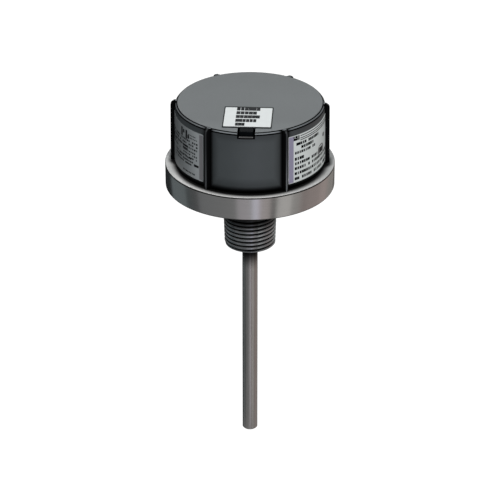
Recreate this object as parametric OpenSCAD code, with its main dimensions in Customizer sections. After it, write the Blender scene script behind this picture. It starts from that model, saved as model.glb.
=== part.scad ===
// Level transmitter: a stainless screw-in fitting with a probe rod below it, and a battery,
// a circuit board and a radio under a moulded cover above it. Millimetres, +Z up.
// The origin is on the thread axis, in the plane of the flange's underside.
// The front, where the magnet sits in the cover's rim, faces -Y.

/* [Flange and ring] */
// Diameter of the round flange
flange_d = 68.6; // [67:0.1:76]
// Thickness of the flange
flange_h = 9.8; // [8.4:0.2:14]
// Chamfer on the flange's two outer edges
flange_chamfer = 0.2; // [0.2:0.1:1.2]
// Depth of the round well that is bored into the flange's top
well_depth = 3.8; // [2.4:0.2:4.6]
// Height of the ring that carries the cover, above the flange
ring_h = 7.2; // [6.8:0.2:10]
// Wall of that ring
ring_wall = 3.2; // [2.8:0.1:3.6]
// Width of the groove for the cover's seal
seal_groove_w = 2.3; // [2:0.1:2.6]
// Height of that groove's lower side above the flange
seal_groove_rise = 1.1; // [1:0.1:2]
// Width of the bevel on the ring's upper outer edge, seen from above
ring_bevel_run = 0.8; // [0.4:0.1:1]
// Height of that bevel
ring_bevel_drop = 1; // [0.5:0.1:1.2]

/* [Hexagon and pipe thread] */
// Size of the wrench hexagon across its flats
hex_af = 25.4; // [24:0.2:30]
// Height of the hexagon
hex_h = 7; // [5:0.5:10]
// Height of the neck between the hexagon and the thread
neck_h = 2.2; // [1:0.1:3]
// Pitch of the pipe thread, 14 turns to the inch
thread_pitch = 1.8143; // [1.5:0.01:2.2]
// Depth of the thread, and of the neck below its crests
thread_height = 1.3; // [0.8:0.05:1.4]
// Share of the pitch from a root of the thread to the start of the next crest
crest_start = 0.41; // [0.35:0.01:0.47]
// Number of turns of the thread
thread_turns = 10; // [8:1:12]
// Bevel around the thread's lower end
thread_end_bevel = 0.3; // [0.2:0.1:1]
// Diameter over the crests at the lower end
thread_tip_d = 20.9; // [20.4:0.1:22]
// Growth in diameter for each unit of length
thread_taper = 0.0625; // [0:0.0025:0.08]

/* [Probe and its insulator] */
// Diameter of the probe rod, a quarter of an inch
rod_d = 6.35; // [5:0.05:7]
// Length of the rod below the fitting
rod_length = 90; // [40:0.5:300]
// Chamfer on the rod's tip and shoulder
rod_chamfer = 0.5; // [0.2:0.1:1]
// Diameter of the stud above the rod's shoulder, through the insulator and the nut
stud_d = 5; // [4:0.1:5]
// Height of the stud's end above the nut
stud_rise = 0.5; // [0.3:0.1:1.5]
// Diameter of the bore through the fitting
probe_bore_d = 12; // [11.6:0.1:13]
// Length of the insulator that stands out below the fitting
insulator_length = 1.2; // [0.6:0.1:2]
// Chamfer on the insulator's lower end
insulator_chamfer = 0.6; // [0.2:0.1:0.8]
// Height of the insulator's head
head_h = 2.5; // [1.5:0.1:4]
// Depth of the head's seat below the floor of the well
seat_depth = 4.5; // [3:0.1:5.5]
// Diameter of the insulator's neck
insulator_neck_d = 9.4; // [8.6:0.1:10]
// Height of the neck above the gland nut
neck_rise = 0.6; // [0.4:0.1:1.5]
// Diameter of the gland nut
gland_d = 17; // [16:0.2:19]
// Height of the gland nut
gland_h = 4; // [3:0.1:5]
// Width of the two spanner slots in the gland nut
gland_slot_w = 2.4; // [1.6:0.1:3]
// Depth of those slots
gland_slot_depth = 1.2; // [0.6:0.1:2]
// Wall of the raised boss around the gland nut
boss_wall = 3; // [2:0.1:4]
// Cord diameter of the seal around the insulator
insulator_seal_cord = 1.5; // [1.2:0.1:1.6]
// Drop from the head's seat to the middle of that seal
insulator_seal_drop = 7; // [4:0.5:12]
// Cord diameter of the seal around the rod
rod_seal_cord = 1.3; // [1:0.1:1.4]
// Height of the middle of that seal above the fitting's lower end
rod_seal_rise = 6; // [3:0.5:12]
// Outer diameter of the flat washer
washer_d = 12; // [10:0.5:14]
// Thickness of the flat washer
washer_t = 0.8; // [0.6:0.1:1.6]
// Outer diameter of the cupped spring washer
spring_d = 9.6; // [9:0.1:12]
// Height of the cupped spring washer
spring_h = 0.8; // [0.7:0.1:1.4]
// Thickness of its sheet
spring_t = 0.5; // [0.3:0.05:0.6]
// Size of the rod's nut across its flats
nut_af = 8; // [7.5:0.1:10]
// Height of that nut
nut_h = 2.7; // [2:0.1:4]
// Height of the spring contact between the rod and the board
contact_h = 1.1; // [0.8:0.1:2]
// Diameter of its barrel
contact_d = 3.2; // [2.4:0.1:4]

/* [Cover] */
// Diameter of the cover at its foot
cover_d = 60.6; // [60:0.2:63]
// Loss in radius from the foot to the top, for the mould's draft
cover_draft = 0.3; // [0.1:0.05:0.6]
// Wall at the foot
cover_wall = 2.4; // [2.2:0.1:2.8]
// Step where the inner wall narrows above the ring
cover_step = 0.3; // [0.1:0.1:0.5]
// Thickness of the top
cover_top_t = 2.6; // [2.2:0.1:4]
// Chamfer inside the cover's mouth
mouth_chamfer = 0.5; // [0.2:0.1:0.8]
// Width of the bevel around the top, seen from above
rim_run = 0.8; // [0.4:0.1:1.2]
// Height of that bevel
rim_drop = 0.9; // [0.4:0.1:1.4]
// Radius inside the corner of wall and top
inner_fillet = 1.2; // [0.6:0.1:2]
// Number of upright ribs
rib_count = 6; // [4:1:8]
// Width of a rib where it leaves the wall
rib_w = 2; // [1.4:0.1:3]
// Width of a rib at its outer face
rib_face_w = 1.4; // [1:0.1:1.8]
// How far a rib stands out from the wall
rib_proud = 1.85; // [1:0.05:2.4]
// Radius on the top outer corner of a rib
rib_corner = 1.8; // [0.8:0.1:2.2]
// Radius on the two long edges of a rib
rib_edge = 0.3; // [0.1:0.05:0.45]
// Width of the key inside the cover
key_w = 3; // [2:0.1:5]
// Length of the key
key_len = 5.5; // [4:0.5:8]
// How far the key reaches into the ring
key_reach = 1.3; // [1:0.1:1.6]

/* [Magnet and labels] */
// Width of the block magnet
magnet_w = 5.4; // [4:0.1:7]
// Length of the magnet towards the middle
magnet_l = 5.6; // [4:0.1:7]
// Height of the magnet
magnet_h = 1.9; // [1.4:0.1:2]
// Set-back of the magnet's front from the edge of the flat top
magnet_inset = 0.7; // [0.3:0.1:1.5]
// Floor under the magnet's notch
notch_floor = 1.6; // [1:0.1:2]
// Side of the square label on the top
top_label_side = 19.5; // [15:0.5:22]
// Distance from the axis to the middle of that label
top_label_offset = 15.1; // [14:0.1:16]
// Thickness of each label
label_t = 0.15; // [0.1:0.05:0.3]
// Height of a rating label
side_label_h = 20.3; // [15:0.1:22]
// Height of a rating label's lower edge above the cover's foot
side_label_rise = 2.1; // [1:0.1:2.4]
// Arc of wall that a rating label covers, in degrees
side_label_arc = 53; // [30:1:53]

/* [Circuit board] */
// Thickness of the board
board_t = 1.6; // [1:0.1:2]
// Distance from the board's edge to the middle of each screw
screw_inset = 3.6; // [3.4:0.1:4.2]
// Number of standoffs
standoff_count = 4; // [4:1:4]
// Size of a standoff across its flats
standoff_af = 5.5; // [5:0.1:6]
// Diameter of the screws and of the standoffs' studs
screw_d = 3; // [2.5:0.1:3]
// Length of a screw below its head
screw_len = 6; // [4:0.5:7]
// Diameter of a screw's head
screw_head_d = 5.4; // [5:0.1:6]
// Height of a screw's head
screw_head_h = 1.9; // [1.4:0.1:2.4]
// Length of the stud under a standoff
standoff_stud = 3; // [2:0.5:4]
// Width of the radio module
radio_w = 12.5; // [10:0.5:13]
// Space between the radio module and the reed switch's board
radio_space = 1.8; // [0.8:0.1:3]
// Height of the radio module's can
radio_h = 2.2; // [1.6:0.1:3]
// Radius of the antenna's coil, to the middle of its wire
coil_r = 1.2; // [1:0.1:1.4]
// Diameter of the antenna's wire
coil_wire = 0.6; // [0.4:0.1:0.8]
// Rise of the antenna's coil for each turn
coil_pitch = 1.35; // [1.1:0.05:1.8]
// Number of turns of the antenna
coil_turns = 8; // [4:1:9]
// Side of the square microcontroller
chip_w = 7; // [5:0.5:7.5]
// Height of the microcontroller
chip_h = 1.2; // [0.8:0.1:1.6]
// Number of legs on each side of the microcontroller
chip_legs = 8; // [4:1:10]
// Diameter of the capacitor that stores charge for the radio
capacitor_d = 6.3; // [5:0.1:6.6]
// Height of that capacitor
capacitor_h = 9; // [6:0.5:12]
// Length of the service plug's shroud
plug_w = 7.6; // [6:0.1:8]
// Width of that shroud
plug_l = 4.6; // [4:0.1:4.8]
// Height of that shroud
plug_h = 5.5; // [4:0.5:8]
// Length of the crystal's can
crystal_l = 3.2; // [2:0.1:4]
// Width of the crystal's can
crystal_w = 1.5; // [1:0.1:2]
// Height of the crystal's can
crystal_h = 0.9; // [0.6:0.1:1.5]
// Width of the upright board that carries the reed switch
reed_board_w = 16; // [12:0.5:17]
// Thickness of that board
reed_board_t = 1; // [0.8:0.1:1.6]
// Length of the reed switch's glass
reed_glass_l = 10; // [7:0.5:11]
// Diameter of the reed switch's glass
reed_glass_d = 2.2; // [1.6:0.1:2.4]

/* [Battery] */
// Diameter of the cell
cell_d = 14.5; // [13:0.1:15.2]
// Length of the cell over its button
cell_l = 33.4; // [25:0.1:35]
// Height of the cell's button
cell_button_h = 1; // [0.5:0.1:1.5]
// Wall of the tray that holds the cell
tray_wall = 1; // [0.8:0.1:1.2]
// Floor of the tray under the cell
tray_floor = 1; // [0.6:0.1:2]
// Height of the tray's lips above the middle of the cell
tray_lip = 2.2; // [1:0.1:3]
// Thickness of the sheet of the cell's terminals
terminal_t = 0.4; // [0.3:0.1:0.6]
// Width of a terminal
terminal_w = 8; // [5:0.5:9]
// Reach of a terminal's dimple to the cell
terminal_spring = 1.2; // [0.8:0.1:1.6]

/* [Clearances] */
// Gap all round between the cover and the ring
cover_gap = 0.3; // [0.2:0.05:0.5]
// Gap between the cover's seal and the cover
seal_gap = 0.15; // [0.1:0.05:0.2]
// Gap above and below a seal's cord in its groove
groove_gap = 0.2; // [0.1:0.05:0.3]
// Gap between the ring's top and the step inside the cover
step_gap = 1; // [0.5:0.1:1.5]
// Gap around rods, studs and bushes in their bores
bore_gap = 0.05; // [0.03:0.01:0.1]
// Gap between the board's edge and the ring
board_gap = 0.75; // [0.5:0.05:1]
// Gap between the cell and its tray
cell_gap = 0.25; // [0.1:0.05:0.4]
// Gap on each side of the cover's key
key_gap = 0.3; // [0.2:0.05:0.5]
// Gap on each side of the magnet in its notch
notch_gap = 0.8; // [0.3:0.1:1]
// Space between the cell and the cover's ceiling
head_room = 1.5; // [1.2:0.1:4]
// Space between neighbours on the board
part_gap = 0.7; // [0.5:0.05:0.8]
// Space between the reed switch's board and the cover
reed_gap = 1; // [0.6:0.1:2]

/* [Hidden] */
$fn = 96;

// A cut starts this far outside the solid that it cuts
over = 1;

front = 270;
rib_step = 360 / rib_count;

// Heights from the fitting upwards
floor_z = flange_h - well_depth;
ring_top = flange_h + ring_h;
groove_z = flange_h + seal_groove_rise;
seat_z = floor_z - seat_depth;
head_top = seat_z + head_h;
gland_top = head_top + gland_h;
insulator_top = gland_top + neck_rise;
washer_top = insulator_top + washer_t;
spring_top = washer_top + spring_h;
nut_top = spring_top + nut_h;
stud_top = nut_top + stud_rise;
board_z = stud_top + contact_h;
board_top = board_z + board_t;
standoff_h = board_z - floor_z;
cell_z = board_top + tray_floor + cell_d / 2;
ceiling_z = cell_z + cell_d / 2 + head_room;
cover_top = ceiling_z + cover_top_t;
cover_h = cover_top - flange_h;
notch_z = cover_top - magnet_h;
notch_bottom = notch_z - notch_floor;

// Heights from the fitting downwards
thread_z = -hex_h - neck_h;
fitting_end = thread_z - thread_turns * thread_pitch;
insulator_end = fitting_end - insulator_length;
insulator_seal_z = seat_z - insulator_seal_drop;
rod_seal_z = fitting_end + rod_seal_rise;
rod_end = fitting_end - rod_length;

// Radii from the cover inwards
cover_r = cover_d / 2;
cover_bore_r = cover_r - cover_wall;
ring_r = cover_bore_r - cover_gap;
ring_in_r = ring_r - ring_wall;
board_r = ring_in_r - board_gap;
screw_circle_r = board_r - screw_inset;
flat_r = wall_r(cover_top) - rim_run;
seal_cord = seal_groove_w - 2 * groove_gap;
seal_mid_r = cover_bore_r - seal_gap - seal_cord / 2;
groove_r = seal_mid_r - seal_cord / 2;
step_z = ring_top + step_gap;
inner_r = cover_bore_r - cover_step;
inner_top_r = inner_r - cover_draft;

// Radii from the probe outwards
rod_r = rod_d / 2;
stud_r = stud_d / 2;
probe_bore_r = probe_bore_d / 2;
tube_r = probe_bore_r - bore_gap;
gland_bore_r = gland_d / 2;
boss_r = gland_bore_r + boss_wall;
head_r = gland_bore_r - bore_gap;
insulator_neck_r = insulator_neck_d / 2;
insulator_seal_r = tube_r - insulator_seal_cord / 2;
rod_seal_r = stud_r + bore_gap + rod_seal_cord / 2;

// Places on the board
tray_half_w = cell_d / 2 + cell_gap + tray_wall;
tray_half_l = cell_l / 2 + terminal_spring + terminal_t + tray_wall;
tray_top = cell_z + tray_lip;
reed_board_y = -sqrt(pow(board_r - part_gap, 2) - pow(reed_board_w / 2, 2));
reed_board_back = reed_board_y + reed_board_t;
radio_l = -reed_board_back - radio_space - tray_half_w - part_gap;
radio_y = -tray_half_w - part_gap - radio_l / 2;
coil_out_r = coil_r + coil_wire / 2;
antenna_x = -radio_w / 2 - part_gap - coil_out_r;
antenna_y = reed_board_back + part_gap + coil_out_r;
crystal_x = radio_w / 2 + part_gap + crystal_w / 2;
crystal_y = -tray_half_w - part_gap - crystal_l / 2;
leg_reach = 0.8;
coil_leg = 1.2;
coil_steps = 16;
chip_x = -chip_w / 2 - leg_reach - part_gap / 2;
chip_y = tray_half_w + part_gap + leg_reach + chip_w / 2;
plug_x = plug_w / 2 + part_gap / 2;
plug_y = tray_half_w + part_gap + plug_l / 2;
capacitor_x = capacitor_d / 2 + part_gap / 2;
capacitor_y = plug_y + plug_l / 2 + part_gap + capacitor_d / 2;
reed_board_top = notch_bottom - reed_gap;
reed_z = reed_board_top - reed_glass_d;

// Outer radius of the cover's wall at a height
function wall_r(z) = cover_r - cover_draft * (z - flange_h) / cover_h;

// Points along an arc, for the outlines of revolved and drawn shapes
function arc(x, y, r, from, to, steps = 8) =
    [for (i = [0:steps]) let (a = from + (to - from) * i / steps)
        [x + r * cos(a), y + r * sin(a)]];

// Crest radius of the taper thread at a height
function crest_r(z) = thread_tip_d / 2 + (z - fitting_end) * thread_taper / 2;

module ring_of(inner, outer, height) {
    difference() {
        cylinder(r = outer, h = height);
        translate([0, 0, -over]) cylinder(r = inner, h = height + 2 * over);
    }
}

module hexagon(across_flats, height) {
    cylinder(d = across_flats / cos(30), h = height, $fn = 6);
}

// A hexagon whose corners are turned off at one or both ends
module turned_hexagon(across_flats, height, bottom = true, top = true) {
    corner = across_flats / cos(30) / 2;
    flat = across_flats / 2 * 0.97;
    drop = (corner - flat) * tan(30);
    intersection() {
        hexagon(across_flats, height);
        rotate_extrude() polygon([
            [0, 0], [bottom ? flat : corner, 0], [corner, bottom ? drop : 0],
            [corner, top ? height - drop : height], [top ? flat : corner, height], [0, height]]);
    }
}

module torus(middle_r, cord_r) {
    rotate_extrude() translate([middle_r, 0]) circle(r = cord_r);
}

module place_standoffs() {
    for (i = [0:standoff_count - 1]) {
        rotate([0, 0, 45 + i * 360 / standoff_count]) translate([screw_circle_r, 0, 0]) children();
    }
}

// Outline of the thread from its lower end up: each turn is a ring with a root and a flat crest,
// on the taper over the crests. The lower end is a full crest, and a bevel ends the top one.
function thread_outline() = concat(
    [[crest_r(fitting_end) - thread_end_bevel, fitting_end]],
    [for (i = [0:thread_turns - 1], point = [[0, 0], [crest_start, 1], [1 - crest_start, 1]])
        let (z = fitting_end + thread_pitch * (i + point[0]))
        if (z > fitting_end)
        [crest_r(z) - thread_height + min(thread_height * point[1], thread_z - z), z]]);

// Flange, ring, boss, neck and thread are one turning
module fitting_profile() {
    neck_r = crest_r(thread_z) - thread_height;
    polygon(concat([[probe_bore_r, fitting_end]], thread_outline(), [
        [neck_r, thread_z],
        [neck_r, 0],
        [flange_d / 2 - flange_chamfer, 0],
        [flange_d / 2, flange_chamfer],
        [flange_d / 2, flange_h - flange_chamfer],
        [flange_d / 2 - flange_chamfer, flange_h],
        [ring_r, flange_h],
        [ring_r, groove_z],
        [groove_r, groove_z],
        [groove_r, groove_z + seal_groove_w],
        [ring_r, groove_z + seal_groove_w],
        [ring_r, ring_top - ring_bevel_drop],
        [ring_r - ring_bevel_run, ring_top],
        [ring_in_r, ring_top],
        [ring_in_r, floor_z],
        [boss_r, floor_z],
        [boss_r, gland_top],
        [gland_bore_r, gland_top],
        [gland_bore_r, seat_z],
        [probe_bore_r, seat_z]
    ]));
}

module process_fitting() {
    notch_floor_z = ring_top - key_len / 2;
    color("silver") difference() {
        union() {
            rotate_extrude() fitting_profile();
            translate([0, 0, -hex_h]) difference() {
                turned_hexagon(hex_af, hex_h, top = false);
                translate([0, 0, -over]) cylinder(r = probe_bore_r, h = hex_h + 2 * over);
            }
        }
        // Notch for the cover's key, above the seal's groove
        translate([-key_w / 2 - key_gap, ring_r - key_reach - key_gap, notch_floor_z])
            cube([key_w + 2 * key_gap, key_reach + 2 * over, key_len]);
        // Tapped holes for the standoffs
        place_standoffs() translate([0, 0, floor_z - standoff_stud - over])
            cylinder(r = screw_d / 2 + bore_gap, h = standoff_stud + 2 * over);
    }
}

module gland_nut() {
    color("silver") translate([0, 0, head_top]) difference() {
        ring_of(insulator_neck_r + bore_gap, gland_bore_r - bore_gap, gland_h);
        translate([-gland_bore_r - over, -gland_slot_w / 2, gland_h - gland_slot_depth])
            cube([2 * (gland_bore_r + over), gland_slot_w, gland_slot_depth + over]);
    }
}

module probe_insulator() {
    color("white") difference() {
        rotate_extrude() polygon([
            [stud_r + bore_gap, insulator_end],
            [tube_r - insulator_chamfer, insulator_end],
            [tube_r, insulator_end + insulator_chamfer],
            [tube_r, seat_z],
            [head_r, seat_z],
            [head_r, head_top],
            [insulator_neck_r, head_top],
            [insulator_neck_r, insulator_top],
            [stud_r + bore_gap, insulator_top]
        ]);
        translate([0, 0, insulator_seal_z - insulator_seal_cord / 2 - groove_gap])
            ring_of(insulator_seal_r - insulator_seal_cord / 2, probe_bore_r + over,
                insulator_seal_cord + 2 * groove_gap);
        translate([0, 0, rod_seal_z - rod_seal_cord / 2 - groove_gap])
            cylinder(r = rod_seal_r + rod_seal_cord / 2, h = rod_seal_cord + 2 * groove_gap);
    }
}

module insulator_seal() {
    color("dimgray") translate([0, 0, insulator_seal_z])
        torus(insulator_seal_r, insulator_seal_cord / 2);
}

module rod_seal() {
    color("dimgray") translate([0, 0, rod_seal_z]) torus(rod_seal_r, rod_seal_cord / 2);
}

module probe_rod() {
    color("lightgray") rotate_extrude() polygon([
        [0, rod_end],
        [rod_r - rod_chamfer, rod_end],
        [rod_r, rod_end + rod_chamfer],
        [rod_r, insulator_end - rod_chamfer],
        [rod_r - rod_chamfer, insulator_end],
        [stud_r, insulator_end],
        [stud_r, stud_top - rod_chamfer],
        [stud_r - rod_chamfer, stud_top],
        [0, stud_top]
    ]);
}

module clamp_washer() {
    color("silver") translate([0, 0, insulator_top])
        ring_of(stud_r + bore_gap, washer_d / 2, washer_t);
}

module spring_washer() {
    inner = stud_r + bore_gap;
    outer = spring_d / 2;
    color("gray") translate([0, 0, washer_top]) rotate_extrude() polygon([
        [outer, 0], [outer, spring_t], [inner, spring_h], [inner, spring_h - spring_t]]);
}

module probe_nut() {
    color("silver") translate([0, 0, spring_top]) difference() {
        turned_hexagon(nut_af, nut_h);
        translate([0, 0, -over]) cylinder(r = stud_r + bore_gap, h = nut_h + 2 * over);
    }
}

// Sprung pin under the board, which presses on the rod's stud
module probe_contact() {
    barrel_h = contact_h / 2;
    color("gold") translate([0, 0, stud_top]) {
        cylinder(d = contact_d / 2, h = contact_h);
        translate([0, 0, contact_h - barrel_h]) cylinder(d = contact_d, h = barrel_h);
    }
}

module cover_seal() {
    color("black") translate([0, 0, groove_z + seal_groove_w / 2])
        torus(seal_mid_r, seal_cord / 2);
}

module board_standoffs() {
    color("goldenrod") place_standoffs() difference() {
        union() {
            translate([0, 0, floor_z]) hexagon(standoff_af, standoff_h);
            translate([0, 0, floor_z - standoff_stud]) cylinder(d = screw_d, h = standoff_stud + 0.1);
        }
        translate([0, 0, board_z - screw_len])
            cylinder(r = screw_d / 2 + bore_gap, h = screw_len + over);
    }
}

module circuit_board() {
    color("darkgreen") difference() {
        translate([0, 0, board_z]) cylinder(r = board_r, h = board_t);
        place_standoffs() translate([0, 0, board_z - over])
            cylinder(r = screw_d / 2 + 2 * bore_gap, h = board_t + 2 * over);
    }
}

module board_screws() {
    socket_af = 2;
    color("silver") place_standoffs() difference() {
        union() {
            translate([0, 0, board_top]) rotate_extrude() polygon(concat(
                [[0, 0], [screw_head_d / 2, 0]],
                arc(screw_head_d / 2 - screw_head_h * 0.7, screw_head_h * 0.3,
                    screw_head_h * 0.7, 0, 90),
                [[0, screw_head_h]]));
            translate([0, 0, board_top - screw_len]) cylinder(d = screw_d, h = screw_len + 0.1);
        }
        translate([0, 0, board_top + screw_head_h * 0.4]) hexagon(socket_af, screw_head_h);
    }
}

module lying_cylinder(r, length) {
    translate([-length / 2, 0, cell_z]) rotate([0, 90, 0]) cylinder(r = r, h = length);
}

// Moulded cradle: its lips close a little over the middle of the cell
module battery_tray() {
    inside_l = 2 * (tray_half_l - tray_wall);
    window_l = inside_l / 5;
    color("black") difference() {
        translate([-tray_half_l, -tray_half_w, board_top])
            cube([2 * tray_half_l, 2 * tray_half_w, tray_top - board_top]);
        lying_cylinder(cell_d / 2 + cell_gap, inside_l);
        // Pockets in which the terminals stand, down to the board
        for (side = [-1, 1]) {
            translate([side * (inside_l / 2 - terminal_t / 2), 0, cell_z])
                cube([terminal_t, terminal_w + 2 * cell_gap, 4 * cell_d], center = true);
        }
        // Windows that let the lips spring
        for (side = [-1, 1]) {
            translate([side * inside_l / 4 - window_l / 2, -tray_half_w - over, cell_z - cell_d / 5])
                cube([window_l, 2 * (tray_half_w + over), cell_d]);
        }
    }
}

module battery_terminals() {
    height = tray_top - board_top;
    outer = tray_half_l - tray_wall;
    color("silver") for (side = [0, 180]) {
        rotate([0, 0, side]) {
            translate([outer - terminal_t, -terminal_w / 2, board_top])
                cube([terminal_t, terminal_w, height]);
            translate([outer - terminal_t - terminal_spring, 0, cell_z])
                rotate([0, 90, 0]) cylinder(d1 = 2, d2 = 4, h = terminal_spring + terminal_t / 2);
        }
    }
}

module battery_cell() {
    bead = 0.4;
    color("seagreen") translate([-cell_l / 2, 0, cell_z]) rotate([0, 90, 0]) rotate_extrude()
        polygon([
            [0, 0],
            [cell_d / 2 - bead, 0],
            [cell_d / 2, bead],
            [cell_d / 2, cell_l - cell_button_h - bead],
            [cell_d / 2 - bead, cell_l - cell_button_h],
            [2.7, cell_l - cell_button_h],
            [2.7, cell_l],
            [0, cell_l]
        ]);
}

module on_board(x, y) {
    translate([x, y, board_top]) children();
}

// Shield can with its rim resting on the module's own thin board
module radio_module() {
    rim = 0.6;
    color("silver") on_board(0, radio_y) union() {
        translate([-radio_w / 2, -radio_l / 2, 0]) cube([radio_w, radio_l, rim]);
        translate([-radio_w / 2 + rim, -radio_l / 2 + rim, 0])
            cube([radio_w - 2 * rim, radio_l - 2 * rim, radio_h]);
    }
}

// Corner of the antenna's wire number i: a straight leg, then the helix. Each ring of points
// stands across the wire, and the one at the bend is mitred.
function antenna_ring(i, around) = let (
    turn = i < 2 ? 0 : 360 * (i - 1) / coil_steps,
    r = coil_r + coil_wire / 2 * cos(around),
    side = coil_wire / 2 * sin(around),
    rise = i == 0 ? 0 : coil_leg + coil_pitch * (i - 1) / coil_steps)
    [r * cos(turn), r * sin(turn) + (i < 2 ? side : 0), rise - (i > 0 ? side : 0)];

// Wire wound as a helix on a short leg
module antenna() {
    sides = 8;
    rings = coil_turns * coil_steps + 1;
    points = [for (i = [0:rings], j = [0:sides - 1]) antenna_ring(i, 360 * j / sides)];
    skin = [for (i = [0:rings - 1], j = [0:sides - 1])
        let (next = (j + 1) % sides)
        [i * sides + j, (i + 1) * sides + j, (i + 1) * sides + next, i * sides + next]];
    start_cap = [for (j = [0:sides - 1]) j];
    end_cap = [for (j = [sides - 1:-1:0]) rings * sides + j];
    color("goldenrod") on_board(antenna_x, antenna_y)
        polyhedron(points, concat([start_cap], skin, [end_cap]));
}

module microcontroller() {
    leg_w = 0.35;
    leg_t = 0.2;
    span = chip_w * 0.8;
    color("dimgray") on_board(chip_x, chip_y) union() {
        translate([-chip_w / 2, -chip_w / 2, 0.1]) cube([chip_w, chip_w, chip_h - 0.1]);
        for (side = [0:3], i = [0:chip_legs - 1]) {
            rotate([0, 0, 90 * side]) translate([
                chip_w / 2 - leg_t, span * (i / (chip_legs - 1) - 0.5) - leg_w / 2, 0])
                cube([leg_reach + leg_t, leg_w, leg_t]);
        }
    }
}

module crystal() {
    edge = 0.2;
    color("silver") on_board(crystal_x, crystal_y) union() {
        translate([-crystal_w / 2, -crystal_l / 2, 0]) cube([crystal_w, crystal_l, edge]);
        translate([-crystal_w / 2 + edge, -crystal_l / 2 + edge, 0])
            cube([crystal_w - 2 * edge, crystal_l - 2 * edge, crystal_h]);
    }
}

module storage_capacitor() {
    r = capacitor_d / 2;
    bead = 0.3;
    color("dimgray") on_board(capacitor_x, capacitor_y) rotate_extrude() polygon([
        [0, 0],
        [r, 0],
        [r, 1],
        [r - bead, 1 + bead],
        [r, 1 + 2 * bead],
        [r, capacitor_h - bead],
        [r - bead, capacitor_h],
        [0, capacitor_h]
    ]);
}

// Shrouded plug for service, with two rows of three pins
module service_plug() {
    wall = 0.6;
    pin = 0.5;
    pitch = 2;
    color("ivory") on_board(plug_x, plug_y) union() {
        difference() {
            translate([-plug_w / 2, -plug_l / 2, 0]) cube([plug_w, plug_l, plug_h]);
            translate([-plug_w / 2 + wall, -plug_l / 2 + wall, wall + 0.4])
                cube([plug_w - 2 * wall, plug_l - 2 * wall, plug_h]);
        }
        for (i = [-1:1], j = [-0.5, 0.5]) {
            translate([i * pitch - pin / 2, j * pitch - pin / 2, wall])
                cube([pin, pin, plug_h - 2 * wall]);
        }
    }
}

module reed_board() {
    color("darkgreen") translate([-reed_board_w / 2, reed_board_y, board_top])
        cube([reed_board_w, reed_board_t, reed_board_top - board_top]);
}

// Glass tube with a lead at each end, bent back to its board
module reed_switch() {
    lead_d = 0.5;
    glass_r = reed_glass_d / 2;
    lead_l = reed_glass_l + 3;
    y = reed_board_y - glass_r;
    color("palegreen") translate([0, y, reed_z]) union() {
        translate([-reed_glass_l / 2, 0, 0]) rotate([0, 90, 0]) rotate_extrude() polygon(concat(
            [[0, 0]],
            arc(0, glass_r, glass_r, -90, 0),
            arc(0, reed_glass_l - glass_r, glass_r, 0, 90)));
        translate([-lead_l / 2, 0, 0]) rotate([0, 90, 0]) cylinder(d = lead_d, h = lead_l, $fn = 24);
        for (side = [-1, 1]) {
            translate([side * (lead_l / 2 - lead_d / 2), 0, 0])
                rotate([-90, 0, 0]) cylinder(d = lead_d, h = glass_r, $fn = 24);
        }
    }
}

// The shell as turned: bevelled rim, drafted wall, seal bore with a lead-in, step and fillet
module cover_profile() {
    polygon(concat(
        [
            [cover_bore_r + mouth_chamfer, flange_h],
            [cover_r, flange_h],
            [wall_r(cover_top - rim_drop), cover_top - rim_drop],
            [flat_r, cover_top],
            [0, cover_top],
            [0, ceiling_z]
        ],
        arc(inner_top_r - inner_fillet, ceiling_z - inner_fillet, inner_fillet, 90, 0),
        [
            [inner_r, step_z + cover_step],
            [cover_bore_r, step_z],
            [cover_bore_r, flange_h + mouth_chamfer]
        ]));
}

// Plan of one rib, pointing along +X, with its two long edges rounded
module rib_plan(foot_r, face_r) {
    half = rib_face_w / 2 - rib_edge;
    polygon(concat(
        [[foot_r, -rib_w / 2]],
        arc(face_r - rib_edge, -half, rib_edge, -90, 0, 4),
        arc(face_r - rib_edge, half, rib_edge, 0, 90, 4),
        [[foot_r, rib_w / 2]]));
}

// Side view of one rib: a drafted outer face and a rounded top corner
module rib_side() {
    top_r = wall_r(cover_top) + rib_proud;
    foot_r = cover_r + rib_proud;
    root_r = inner_r + cover_draft;
    polygon(concat(
        [[root_r, flange_h], [foot_r, flange_h]],
        arc(top_r - rib_corner, cover_top - rib_corner, rib_corner, 0, 90),
        [[root_r, cover_top]]));
}

module cover_rib() {
    root_r = inner_r + cover_draft;
    intersection() {
        translate([0, 0, flange_h]) linear_extrude(cover_h) rib_plan(root_r, cover_r + rib_proud);
        rotate([90, 0, 0]) linear_extrude(2 * rib_w, center = true) rib_side();
    }
}

module cover() {
    notch_w = magnet_w + 2 * notch_gap;
    notch_end = flat_r - magnet_inset - magnet_l - notch_gap;
    key_z = ring_top - key_len / 2 + key_gap;
    color("dimgray") difference() {
        union() {
            rotate_extrude() cover_profile();
            for (i = [0:rib_count - 1]) rotate([0, 0, front + rib_step * (i + 0.5)]) cover_rib();
            // Pad under the notch, so that its floor keeps its thickness
            intersection() {
                translate([-notch_w / 2 - notch_floor, -cover_bore_r, notch_bottom])
                    cube([notch_w + 2 * notch_floor, cover_bore_r - notch_end + notch_floor,
                        cover_top - notch_bottom - rim_drop]);
                cylinder(r = inner_top_r + cover_step, h = cover_top);
            }
            // Key that fits the ring's notch and sets which way the cover faces
            translate([-key_w / 2, ring_r - key_reach, key_z])
                cube([key_w, cover_wall + key_reach - cover_draft, key_len]);
        }
        translate([-notch_w / 2, -cover_r - rib_proud, notch_z])
            cube([notch_w, cover_r + rib_proud - notch_end, magnet_h + over]);
    }
}

module magnet() {
    color("black") translate([-magnet_w / 2, -flat_r + magnet_inset, notch_z])
        cube([magnet_w, magnet_l, magnet_h]);
}

module instruction_label() {
    color("white") translate([-top_label_side / 2, -top_label_offset - top_label_side / 2, cover_top])
        cube([top_label_side, top_label_side, label_t]);
}

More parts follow.
